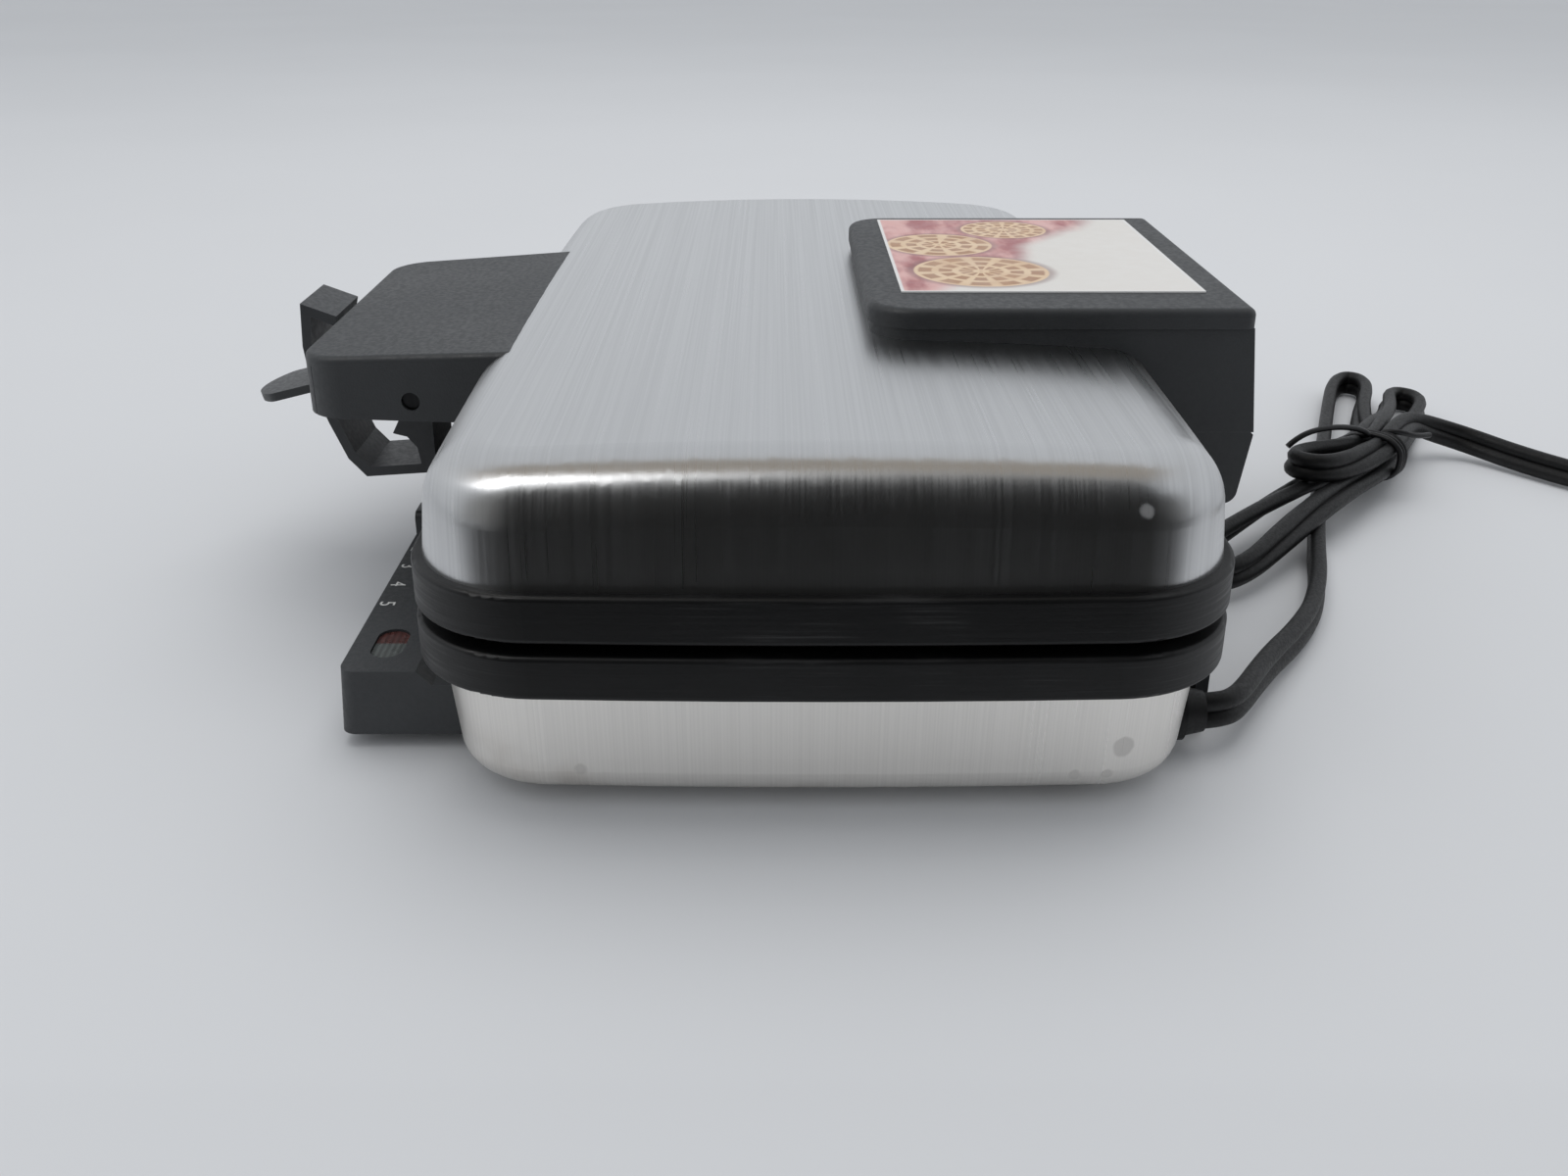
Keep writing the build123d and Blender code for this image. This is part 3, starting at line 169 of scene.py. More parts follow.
class Recipe:
    """A finish being mixed: its nodes, and short calls that add one and return its result."""

    def __init__(self, name, **settings):
        self.material = bpy.data.materials.new(name)
        self.material.use_nodes = True
        self.tree = self.material.node_tree
        self.shader = self.tree.nodes["Principled BSDF"]
        self.place = self.tree.nodes.new("ShaderNodeTexCoord").outputs["Object"]
        for socket, value in settings.items():
            self.shader.inputs[socket.replace("_", " ")].default_value = value

    def put(self, value, socket):
        """Set a socket to a number or colour, or link it to another node's result."""
        if isinstance(value, bpy.types.NodeSocket):
            self.tree.links.new(value, socket)
        elif hasattr(value, "__len__") and socket.type == "RGBA":
            socket.default_value = (*value[:3], 1.0)
        else:
            socket.default_value = value

    def feed(self, name, value):
        """Set or link one input of the main shader."""
        self.put(value, self.shader.inputs[name])

    def clouds(self, vector, scale, detail, roughness):
        """Add one noise texture over a place and return its result."""
        node = self.tree.nodes.new("ShaderNodeTexNoise")
        node.inputs["Scale"].default_value = scale
        node.inputs["Detail"].default_value = detail
        node.inputs["Roughness"].default_value = roughness
        self.tree.links.new(vector, node.inputs["Vector"])
        return node.outputs["Fac"]

    def noise(self, scale, detail=3.0):
        """Return a cloud noise with so many features to the metre."""
        return self.clouds(self.place, scale, detail, 0.5)

    def streaks(self, scales, detail, roughness=0.5):
        """Return a noise with its own number of features to the metre along each axis."""
        node = self.tree.nodes.new("ShaderNodeMapping")
        node.inputs["Scale"].default_value = scales
        self.tree.links.new(self.place, node.inputs["Vector"])
        return self.clouds(node.outputs["Vector"], 1.0, detail, roughness)

    def pebbles(self, scale):
        """Return the softened distance to the nearest of scattered points, so many to the metre."""
        node = self.tree.nodes.new("ShaderNodeTexVoronoi")
        node.feature = "SMOOTH_F1"
        node.inputs["Scale"].default_value = scale
        self.tree.links.new(self.place, node.inputs["Vector"])
        return node.outputs["Distance"]

    def work_out(self, operation, *values):
        """Return the result of one arithmetic step."""
        node = self.tree.nodes.new("ShaderNodeMath")
        node.operation = operation
        for value, socket in zip(values, node.inputs):
            self.put(value, socket)
        return node.outputs[0]

    def plus(self, first, second):
        """Return the sum of two values."""
        return self.work_out("ADD", first, second)

    def minus(self, first, second):
        """Return the first value less the second."""
        return self.work_out("SUBTRACT", first, second)

    def times(self, first, second):
        """Return the product of two values."""
        return self.work_out("MULTIPLY", first, second)

    def between(self, value, low, high, out_low=0.0, out_high=1.0):
        """Return a value carried smoothly from one range to another."""
        node = self.tree.nodes.new("ShaderNodeMapRange")
        node.interpolation_type = "SMOOTHSTEP"
        for item, socket in zip((value, low, high, out_low, out_high), node.inputs):
            self.put(item, socket)
        return node.outputs[0]

    def mix(self, share, first, second, blend="MIX"):
        """Return two colours mixed."""
        node = self.tree.nodes.new("ShaderNodeMix")
        node.data_type = "RGBA"
        node.blend_type = blend
        self.put(share, node.inputs[0])
        self.put(first, node.inputs[6])
        self.put(second, node.inputs[7])
        return node.outputs[2]

    def axis(self, name):
        """Return one coordinate of the place on the object."""
        node = self.tree.nodes.new("ShaderNodeSeparateXYZ")
        self.tree.links.new(self.place, node.inputs[0])
        return node.outputs[name]

    def facing(self, name):
        """Return how far the surface faces along one axis, either way."""
        geometry = self.tree.nodes.new("ShaderNodeNewGeometry")
        node = self.tree.nodes.new("ShaderNodeSeparateXYZ")
        self.tree.links.new(geometry.outputs["Normal"], node.inputs[0])
        return self.work_out("ABSOLUTE", node.outputs[name])

    def bump(self, height, distance, strength=1.0):
        """Raise the surface by a height from 0 to 1 times a distance in metres."""
        node = self.tree.nodes.new("ShaderNodeBump")
        node.inputs["Strength"].default_value = strength
        node.inputs["Distance"].default_value = distance
        self.put(height, node.inputs["Height"])
        self.feed("Normal", node.outputs["Normal"])

    def wear_on_edges(self, radius):
        """Return 1 on edges, where the colour is lightened partly for wear and partly as a painted
        highlight, and 0 elsewhere.
        """
        bevel = self.tree.nodes.new("ShaderNodeBevel")
        bevel.inputs["Radius"].default_value = radius
        geometry = self.tree.nodes.new("ShaderNodeNewGeometry")
        dot = self.tree.nodes.new("ShaderNodeVectorMath")
        dot.operation = "DOT_PRODUCT"
        self.tree.links.new(bevel.outputs["Normal"], dot.inputs[0])
        self.tree.links.new(geometry.outputs["Normal"], dot.inputs[1])
        return self.between(dot.outputs["Value"], 0.98, 0.8)


def dress(material, *nodes):
    """Give CAD nodes a finish in place of the plain one they came with."""
    for name in nodes:
        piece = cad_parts[name]
        if not piece.material_slots:
            piece.data.materials.append(None)
        for item in piece.material_slots:
            item.material = material


# Finishes


# Brush lines to the metre across the brushing and along it, and the sheet's slow clouding
BRUSH_LINES = 2200.0
BRUSH_RUNS = 7.0
SHEET_CLOUDS = 22.0

# How ragged a dried drop's edge is, and how many millimetres past its radius the drop has faded
# out and is whole
DROP_RAGGED = 1.2 * MM
DROP_FADES = 0.9
DROP_WHOLE = 0.3
DRIED_WATER = (0.33, 0.31, 0.29)

# The heights between which the base pan is smudged, and the smudges' tone
SMUDGE_TOP = 19.0 * MM
SMUDGE_FULL = 7.0 * MM
SMUDGE_TONE = (0.42, 0.37, 0.31)


def dried_drops(recipe, base, drops, strength):
    """Paint dried water drops on a base colour; return the colour and how far it is covered."""
    covered = 0.0
    for x, y, z, radius in drops:
        apart = recipe.tree.nodes.new("ShaderNodeVectorMath")
        apart.operation = "DISTANCE"
        recipe.put(recipe.place, apart.inputs[0])
        apart.inputs[1].default_value = (x * MM, y * MM, z * MM)
        edge = recipe.noise(260.0, 2.0)
        reach = recipe.work_out("MULTIPLY_ADD", edge, DROP_RAGGED, apart.outputs["Value"])
        fades = (radius + DROP_FADES) * MM
        whole = (radius + DROP_WHOLE) * MM
        drop = recipe.between(reach, fades, whole, 0.0, strength)
        base = recipe.mix(drop, base, DRIED_WATER)
        covered = recipe.work_out("MAXIMUM", covered, drop)
    return base, covered


def smudges(recipe, base):
    """Smear a base colour low down, where hands and cloths leave their marks."""
    low_down = recipe.between(recipe.axis("Z"), SMUDGE_TOP, SMUDGE_FULL)
    smear = recipe.between(recipe.noise(42.0, 4.0), 0.46, 0.66, 0.0, 0.4)
    return recipe.mix(recipe.times(smear, low_down), base, SMUDGE_TONE)


def brushed_steel(name, colour, drops, drop_strength, smudged):
    """Stainless sheet brushed along its length, with dried water drops at the given places."""
    recipe = Recipe(name, Metallic=1.0, Anisotropic=0.6, Anisotropic_Rotation=0.25, IOR=2.4)
    side = recipe.between(recipe.facing("Y"), 0.75, 0.95)
    along = recipe.streaks((BRUSH_RUNS, BRUSH_LINES, BRUSH_RUNS), 4.0)
    across = recipe.streaks((BRUSH_RUNS, BRUSH_RUNS, BRUSH_LINES), 4.0)
    along = recipe.times(along, recipe.minus(1.0, side))
    streak = recipe.plus(along, recipe.times(across, side))
    cloud = recipe.noise(SHEET_CLOUDS)
    tone = recipe.between(streak, 0.3, 0.7, 0.94, 1.0)
    tone = recipe.times(tone, recipe.between(cloud, 0.3, 0.75, 0.97, 1.0))
    base = recipe.mix(1.0, colour, tone, "MULTIPLY")
    if smudged:
        base = smudges(recipe, base)
    base, covered = dried_drops(recipe, base, drops, drop_strength)
    recipe.feed("Base Color", base)
    recipe.feed("Metallic", recipe.minus(1.0, covered))
    rough = recipe.between(streak, 0.3, 0.7, 0.34, 0.27)
    recipe.feed("Roughness", recipe.plus(rough, recipe.between(cloud, 0.35, 0.7, 0.0, 0.03)))
    tangent = recipe.tree.nodes.new("ShaderNodeTangent")
    tangent.direction_type = "RADIAL"
    tangent.axis = "Y"
    recipe.feed("Tangent", tangent.outputs[0])
    recipe.bump(streak, 0.003 * MM, 0.2)
    return recipe.material


# Width of the edges of mouldings painted lighter, partly wear and partly painted highlight, how
# much lighter they are, and the depth of the grain
WORN_AND_HIGHLIT_EDGE = 0.5 * MM
WORN_AND_HIGHLIT_LIGHTER = 2.6
PEBBLE_DEPTH = 0.03 * MM


def moulded_plastic(name, colour, grain=1.0, roughness=0.5):
    """Black moulded plastic with a fine grain, dust, and edges painted lighter as wear and as a
    painted highlight.
    """
    recipe = Recipe(name, IOR=1.49)
    pebble = recipe.pebbles(2600.0)
    cloud = recipe.noise(28.0, 4.0)
    fine = recipe.noise(900.0, 2.0)
    dusty = recipe.between(cloud, 0.35, 0.75, 1.0, 1.35)
    base = recipe.mix(1.0, colour, dusty, "MULTIPLY")
    # Lighter edges: partly wear, partly a painted highlight where the edges catch the light
    wear_and_highlight = recipe.times(recipe.wear_on_edges(WORN_AND_HIGHLIT_EDGE), recipe.between(fine, 0.4, 0.6))
    base = recipe.mix(recipe.times(wear_and_highlight, 0.35), base, [WORN_AND_HIGHLIT_LIGHTER * c for c in colour])
    recipe.feed("Base Color", base)
    rough = recipe.between(fine, 0.3, 0.7, roughness - 0.06, roughness + 0.06)
    recipe.feed("Roughness", recipe.plus(rough, recipe.between(cloud, 0.3, 0.7, -0.03, 0.04)))
    recipe.bump(pebble, PEBBLE_DEPTH * grain)
    return recipe.material


def ring_plastic(name, colour):
    """Heat-proof ring plastic, scuffed along its length by handling."""
    recipe = Recipe(name, IOR=1.42)
    scuff = recipe.streaks((40.0, 40.0, 1500.0), 5.0, 0.6)
    patch = recipe.noise(30.0, 4.0)
    rub = recipe.times(recipe.between(scuff, 0.5, 0.72), recipe.between(patch, 0.4, 0.62))
    base = recipe.mix(recipe.times(rub, 0.3), colour, (0.055, 0.055, 0.055))
    base = recipe.mix(1.0, base, recipe.between(patch, 0.3, 0.7, 0.85, 1.2), "MULTIPLY")
    recipe.feed("Base Color", base)
    recipe.feed("Roughness", recipe.between(scuff, 0.3, 0.7, 0.38, 0.55))
    recipe.bump(recipe.plus(scuff, recipe.noise(700.0)), 0.03 * MM)
    return recipe.material


def nonstick_casting(name):
    """Dark coated casting of the baking plates."""
    recipe = Recipe(name, Metallic=0.55, IOR=1.6)
    grain = recipe.noise(1600.0)
    baked = recipe.noise(26.0, 4.0)
    base = recipe.mix(recipe.between(baked, 0.4, 0.7), (0.13, 0.125, 0.12), (0.09, 0.075, 0.06))
    recipe.feed("Base Color", base)
    recipe.feed("Roughness", recipe.between(baked, 0.3, 0.7, 0.38, 0.52))
    recipe.bump(grain, 0.04 * MM)
    return recipe.material


def oxidised_sheath(name):
    """Straw and blue-grey oxide on the heating rods."""
    recipe = Recipe(name, Metallic=0.8)
    heat = recipe.noise(40.0)
    base = recipe.mix(recipe.between(heat, 0.35, 0.65), (0.12, 0.115, 0.13), (0.22, 0.17, 0.11))
    recipe.feed("Base Color", base)
    recipe.feed("Roughness", recipe.between(recipe.noise(600.0), 0.3, 0.7, 0.42, 0.62))
    recipe.bump(recipe.noise(2000.0, 2.0), 0.02 * MM)
    return recipe.material


def plated_steel(name, colour, roughness):
    """Rolled or plated metal with a faint grain."""
    recipe = Recipe(name, Metallic=1.0)
    roll = recipe.streaks((20.0, 1200.0, 20.0), 4.0)
    base = recipe.mix(1.0, colour, recipe.between(roll, 0.3, 0.7, 0.85, 1.0), "MULTIPLY")
    recipe.feed("Base Color", base)
    spots = recipe.noise(300.0)
    recipe.feed("Roughness", recipe.between(spots, 0.3, 0.7, roughness - 0.05, roughness + 0.08))
    recipe.bump(roll, 0.006 * MM)
    return recipe.material


# Radians of the window's prisms to the metre
LENS_PRISMS = 5200.0


def tinted_lens(name, colour):
    """Unlit window plastic, moulded with fine prisms inside."""
    recipe = Recipe(name, IOR=1.49, Coat_Weight=0.5, Coat_Roughness=0.12)
    prism = recipe.work_out("SINE", recipe.times(recipe.axis("Y"), LENS_PRISMS))
    base = recipe.mix(recipe.between(prism, -1.0, 1.0), colour, [0.6 * c for c in colour])
    recipe.feed("Base Color", base)
    recipe.feed("Roughness", recipe.between(recipe.noise(400.0), 0.3, 0.7, 0.22, 0.36))
    recipe.bump(prism, 0.02 * MM, 0.4)
    return recipe.material


def chalky(name, colour, roughness, scale):
    """Ceramic or rubber with a soft mottle."""
    recipe = Recipe(name)
    mottle = recipe.noise(scale, 4.0)
    base = recipe.mix(1.0, colour, recipe.between(mottle, 0.3, 0.7, 0.8, 1.1), "MULTIPLY")
    recipe.feed("Base Color", base)
    recipe.feed("Roughness", recipe.between(mottle, 0.3, 0.7, roughness - 0.05, roughness + 0.07))
    recipe.bump(mottle, 0.03 * MM)
    return recipe.material


def cord_vinyl(name, colour, roughness=0.52):
    """Vinyl with a soft sheen, dusty in patches."""
    recipe = Recipe(name, IOR=1.44)
    dust = recipe.noise(60.0, 4.0)
    fine = recipe.noise(1500.0)
    base = recipe.mix(recipe.between(dust, 0.5, 0.8, 0.0, 0.2), colour, (0.05, 0.05, 0.05))
    recipe.feed("Base Color", base)
    recipe.feed("Roughness", recipe.between(fine, 0.3, 0.7, roughness - 0.05, roughness + 0.1))
    recipe.bump(recipe.plus(fine, dust), 0.03 * MM)
    return recipe.material


# Label: the slope of its diagonal edge, and each wafer's place as a share of the label from its
# middle, its radius in millimetres and its ribs
LABEL_SLOPE = 0.55
LABEL_WAFERS = (
    ((0.26, -0.20), 15.5, 12.0),
    ((-0.10, -0.30), 13.0, 9.0),
    ((-0.33, -0.02), 11.0, 15.0),
)
WAFER_RINGS = 21.0


def wafer_print(recipe, ground, centre, radius, ribs):
    """Print one round wafer over the ground colour, with its ribs as darker and lighter lines."""
    reach_x = recipe.minus(recipe.axis("X"), centre[0])
    reach_y = recipe.minus(recipe.axis("Y"), centre[1])
    square = recipe.plus(
        recipe.work_out("POWER", reach_x, 2.0), recipe.work_out("POWER", reach_y, 2.0)
    )
    reach = recipe.work_out("DIVIDE", recipe.work_out("SQRT", square), radius)
    turn = recipe.work_out("ARCTAN2", reach_y, reach_x)
    spokes = recipe.work_out("SINE", recipe.times(turn, ribs))
    rings = recipe.work_out("SINE", recipe.times(reach, WAFER_RINGS))
    raised = recipe.work_out("MAXIMUM", spokes, rings)
    baked = recipe.mix(recipe.between(raised, 0.1, 0.8), (0.36, 0.17, 0.07), (0.72, 0.52, 0.32))
    browned = recipe.between(recipe.noise(90.0), 0.45, 0.75, 0.0, 0.5)
    baked = recipe.mix(browned, baked, (0.50, 0.28, 0.14))
    shadow = recipe.between(reach, 1.0, 1.16, 0.55, 0.0)
    ground = recipe.mix(shadow, ground, (0.16, 0.05, 0.045))
    return recipe.mix(recipe.between(reach, 1.0, 0.97), ground, baked)


def label_border(recipe):
    """Return how far the place lies inside the label's nearest edge."""
    sides = (
        recipe.minus(recipe.axis("X"), label_low.x),
        recipe.minus(label_high.x, recipe.axis("X")),
        recipe.minus(label_high.y, recipe.axis("Y")),
        recipe.minus(recipe.axis("Y"), label_low.y),
    )
    nearest = sides[0]
    for side in sides[1:]:
        nearest = recipe.work_out("MINIMUM", nearest, side)
    return nearest


def label_print(name):
    """A generic printed label: wafers on a rosy cloth beside a bare cream field."""
    recipe = Recipe(name, IOR=1.5, Coat_Weight=0.2, Coat_Roughness=0.3)
    middle = (label_low + label_high) / 2
    size = label_high - label_low
    lean = recipe.work_out("MULTIPLY_ADD", recipe.axis("X"), LABEL_SLOPE, recipe.axis("Y"))
    edge = middle.x * LABEL_SLOPE + middle.y
    wave = recipe.work_out("MULTIPLY_ADD", recipe.noise(38.0, 2.0), 16.0 * MM, lean)
    cloth = recipe.between(recipe.streaks((60.0, 160.0, 60.0), 3.0), 0.35, 0.65)
    rose = recipe.mix(cloth, (0.34, 0.075, 0.08), (0.66, 0.36, 0.33))
    cream = recipe.mix(recipe.noise(12.0), (0.66, 0.62, 0.56), (0.72, 0.70, 0.67))
    field = recipe.between(wave, edge + 2.0 * MM, edge + 12.0 * MM)
    ground = recipe.mix(field, rose, cream)
    for (across, back), radius, ribs in LABEL_WAFERS:
        centre = (middle.x + across * size.x, middle.y + back * size.y)
        ground = wafer_print(recipe, ground, centre, radius * MM, ribs)
    paper = recipe.between(label_border(recipe), 0.9 * MM, 0.5 * MM)
    recipe.feed("Base Color", recipe.mix(paper, ground, (0.72, 0.71, 0.69)))
    recipe.feed("Roughness", recipe.between(recipe.noise(200.0), 0.3, 0.7, 0.32, 0.44))
    recipe.bump(recipe.noise(700.0, 2.0), 0.01 * MM)
    return recipe.material


# Mesh work that several pieces share


def pick_nothing():
    """Leave edit mode and deselect every object."""
    if bpy.context.object and bpy.context.object.mode != "OBJECT":
        bpy.ops.object.mode_set(mode="OBJECT")
    bpy.ops.object.select_all(action="DESELECT")


def pick(piece):
    """Make one object the only selected and active one."""
    pick_nothing()
    piece.select_set(True)
    bpy.context.view_layer.objects.active = piece


def settle(piece, name, material):
    """Name a finished piece, apply its place to its mesh and give it its finish."""
    pick(piece)
    if piece.type != "MESH":
        bpy.ops.object.convert(target="MESH")
    bpy.ops.object.transform_apply(location=True, rotation=True, scale=True)
    piece = bpy.context.object
    piece.name = name
    piece.data.name = name
    piece.data.materials.clear()
    piece.data.materials.append(material)
    return piece


# Mains cord


# The hank lies across the table behind the machine. Its tie is at this place and in this
# direction, round two columns and two layers of cord at these offsets and heights.
HANK_X = -42.9
HANK_Y = 155.9
HANK_ANGLE = math.radians(139.0)
COLUMN = 7.4
LOW = 8.2
HIGH = 14.3
WIDE_FOLD = 15.0
NARROW_FOLD = 12.0


def route_point(across, back, height):
    """Return a point given in millimetres from the middle of the baking plates."""
    return Vector((across, PLATE_Y + back, height)) * MM


def in_hank(reach, offset, height):
    """Return a point given along the hank, beside the tie's first column and above the table."""
    across = HANK_X + reach * math.cos(HANK_ANGLE) + offset * math.sin(HANK_ANGLE)
    back = HANK_Y + reach * math.sin(HANK_ANGLE) - offset * math.cos(HANK_ANGLE)
    return route_point(across, back, height)


# Each point of the route, and how far the cord there is turned from lying flat, in degrees
CORD_ROUTE = [
    (route_point(101.0, 74.0, 8.8), 90),
    (route_point(100.9, 76.8, 8.9), 90),
    (route_point(98.9, 80.6, 8.8), 90),
    (route_point(94.0, 84.2, 8.5), 90),
    (route_point(86.2, 88.9, 7.8), 88),
    (route_point(75.5, 95.6, 6.7), 86),
    (route_point(62.3, 105.0, 5.4), 84),
    (route_point(48.0, 113.7, 4.5), 84),
    (route_point(30.5, 121.0, 4.1), 88),
    (route_point(10.5, 127.2, 4.0), 90),
    (route_point(-10.0, 134.2, 3.9), 90),
    (route_point(-50.0, 148.8, 3.9), 88),
    (route_point(-96.0, 166.0, 4.0), 90),
    (in_hank(89.0, -42.0, 4.0), 90),
    (in_hank(89.0, -42.0 + NARROW_FOLD, 4.4), 90),
    (in_hank(55.0, -20.0, 4.8), 70),
    (in_hank(28.0, -8.0, 6.2), 25),
    (in_hank(0.0, -0.2, LOW), 5),
    (in_hank(-27.0, -1.6, 10.2), 10),
    (in_hank(-60.0, -4.0, 9.6), 50),
    (in_hank(-97.0, -6.5, 6.4), 90),
    (in_hank(-97.0, -6.5 + WIDE_FOLD, 6.4), 90),
    (in_hank(-60.0, 8.0, 9.8), 50),
    (in_hank(-30.0, 7.4, 10.4), 15),
    (in_hank(0.0, COLUMN, LOW), 5),
    (in_hank(28.0, 0.9, 5.6), 35),
    (in_hank(55.0, -3.5, 4.3), 75),
    (in_hank(82.5, -9.3, 4.0), 90),
    (in_hank(82.5, -9.3 - NARROW_FOLD, 4.2), 90),
    (in_hank(58.0, -12.5, 6.4), 65),
    (in_hank(28.0, -5.5, 12.6), 25),
    (in_hank(0.0, 0.2, HIGH), 5),
    (in_hank(-36.0, -9.0, 16.4), 90),
    (in_hank(-36.0, -9.0 + WIDE_FOLD, 16.4), 90),
    (in_hank(0.0, COLUMN, HIGH), 10),
    (in_hank(18.0, 4.2, 14.0), 25),
    (in_hank(34.0, 2.2, 12.0), 45),
    (route_point(-71.0, 187.5, 9.0), 60),
    (route_point(-70.0, 199.0, 5.6), 62),
    (route_point(-57.5, 208.5, 4.3), 60),
    (route_point(-44.0, 218.5, 4.0), 55),
    (route_point(-30.5, 231.0, 4.0), 40),
    (route_point(-17.5, 243.0, 5.0), 15),
    (route_point(-5.0, 254.5, 5.5), 0),
]


def nurbs_line(name, points, resolution=10):
    """Return a curve object of one smooth open line with these control points."""
    curve = bpy.data.curves.new(name, "CURVE")
    curve.dimensions = "3D"
    curve.resolution_u = resolution
    spline = curve.splines.new("NURBS")
    spline.points.add(len(points) - 1)
    for control, point in zip(spline.points, points):
        control.co = (*point, 1.0)
    spline.order_u = 3
    spline.use_endpoint_u = True
    line = bpy.data.objects.new(name, curve)
    bpy.context.scene.collection.objects.link(line)
    return line


def line_points(line):
    """Return the points of a bare line as it is drawn."""
    mesh = bpy.data.meshes.new_from_object(line)
    points = [vertex.co.copy() for vertex in mesh.vertices]
    bpy.data.meshes.remove(mesh)
    return points


# Steps round each lobe of the cord, and the sharpest corner that is shaded round on small pieces
LOBE_STEPS = 9
ROUND_SHADING = math.radians(50.0)


def twin_profile(sizes):
    """Return the closed outline of a flat twin cord: two round lobes and a thinner web."""
    lobe = sizes.thickness / 2
    centre = sizes.width / 2 - lobe
    start = math.asin(sizes.web / 2 / lobe)
    right = []
    for i in range(LOBE_STEPS + 1):
        angle = math.pi - start - (2 * math.pi - 2 * start) * i / LOBE_STEPS
        right.append((centre + lobe * math.cos(angle), lobe * math.sin(angle)))
    left = [(-x, -y) for x, y in right]
    outline = bpy.data.curves.new("cord_outline", "CURVE")
    outline.dimensions = "2D"
    spline = outline.splines.new("POLY")
    corners = right + left
    spline.points.add(len(corners) - 1)
    for control, (x, y) in zip(spline.points, corners):
        control.co = (x, y, 0.0, 1.0)
    spline.use_cyclic_u = True
    profile = bpy.data.objects.new("cord_outline", outline)
    bpy.context.scene.collection.objects.link(profile)
    return profile


class PIZZELLE_OT_cord(bpy.types.Operator):
    """Make the flat twin mains cord along its whole route"""

    bl_idname = "pizzelle.cord"
    bl_label = "Mains Cord"

    def execute(self, context):
        sizes = context.scene.pizzelle_cord
        line = nurbs_line("mains_cord", [point for point, turn in CORD_ROUTE])
        path = line_points(line)
        for control, (point, turn) in zip(line.data.splines[0].points, CORD_ROUTE):
            control.tilt = math.radians(turn)
        line.data.twist_mode = "Z_UP"
        line.data.bevel_mode = "OBJECT"
        line.data.bevel_object = twin_profile(sizes)
        line.data.use_fill_caps = True
        cord = settle(line, "mains_cord", cord_vinyl("cord_vinyl", sizes.colour))
        bpy.data.objects.remove(bpy.data.objects["cord_outline"])
        bpy.ops.object.shade_smooth_by_angle(angle=ROUND_SHADING)
        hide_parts("cord_lead", "cord_hank", "cord_tail")
        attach(cord, "base")
        return {"FINISHED"}


# Tie wire: its two tails, given along the hank, beside the first column and above the table
TIE_FIRST_TAIL = (
    (-27.0, -10.0, 17.6), (-24.0, -8.0, 21.0), (-14.0, -3.0, 21.6), (-5.0, 1.0, 19.6)
)
TIE_LAST_TAIL = ((4.0, 9.0, 18.2), (8.0, 12.5, 16.4), (14.0, 14.0, 15.8))

# Its winding: the turns, the steps to a turn, the width along the hank, how far it passes beside
# and above the middles of the cords, and the power that squares the turns off
TIE_TURNS = 3
TIE_STEPS = 12
TIE_WIDTH = 5.2
TIE_BESIDE = 4.7
TIE_ABOVE = 3.1
TIE_SQUARENESS = -0.55
TIE_RADIUS = 0.8 * MM


def tie_winding():
    """Return the points of the wire's turns round the two columns and layers of cord."""
    middle = (COLUMN / 2, (LOW + HIGH) / 2)
    half = (COLUMN / 2 + TIE_BESIDE, (HIGH - LOW) / 2 + TIE_ABOVE)
    count = TIE_STEPS * TIE_TURNS
    points = []
    for i in range(count + 1):
        angle = math.pi / 2 + 2 * math.pi * i / TIE_STEPS
        lift = max(abs(math.cos(angle)), abs(math.sin(angle))) ** TIE_SQUARENESS
        across = middle[0] + half[0] * lift * math.cos(angle)
        height = middle[1] + half[1] * lift * math.sin(angle)
        points.append(in_hank(-TIE_WIDTH / 2 + TIE_WIDTH * i / count, across, height))
    return points


class PIZZELLE_OT_tie_wire(bpy.types.Operator):
    """Wind the covered tie wire round the hank and leave its two tails"""

    bl_idname = "pizzelle.tie_wire"
    bl_label = "Tie Wire"

    def execute(self, context):
        points = [in_hank(*point) for point in TIE_FIRST_TAIL]
        points += tie_winding()
        points += [in_hank(*point) for point in TIE_LAST_TAIL]
        line = nurbs_line("tie_wire", points, 6)
        line.data.bevel_depth = TIE_RADIUS
        line.data.bevel_resolution = 2
        line.data.use_fill_caps = True
        vinyl = cord_vinyl("tie_vinyl", (0.010, 0.010, 0.011), 0.4)
        wire = settle(line, "tie_wire", vinyl)
        bpy.ops.object.shade_smooth_by_angle(angle=ROUND_SHADING)
        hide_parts("twist_tie")
        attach(wire, "base")
        return {"FINISHED"}


# Plug: its middle block, then how far each end face is pulled out and how it is resized
PLUG_BLOCK = (18.4 * MM, 9.0 * MM, 10.6 * MM)
PLUG_MIDDLE = 14.5 * MM
PLUG_NECK = ((4.0 * MM, 0.72, 0.86), (5.0 * MM, 0.84, 0.84), (4.6 * MM, 0.86, 0.80))
PLUG_NOSE = ((5.4 * MM, 1.0, 1.0), (1.6 * MM, 0.93, 0.88))
PLUG_ROUNDING = 1.1 * MM
PLUG_SHADING = math.radians(40.0)


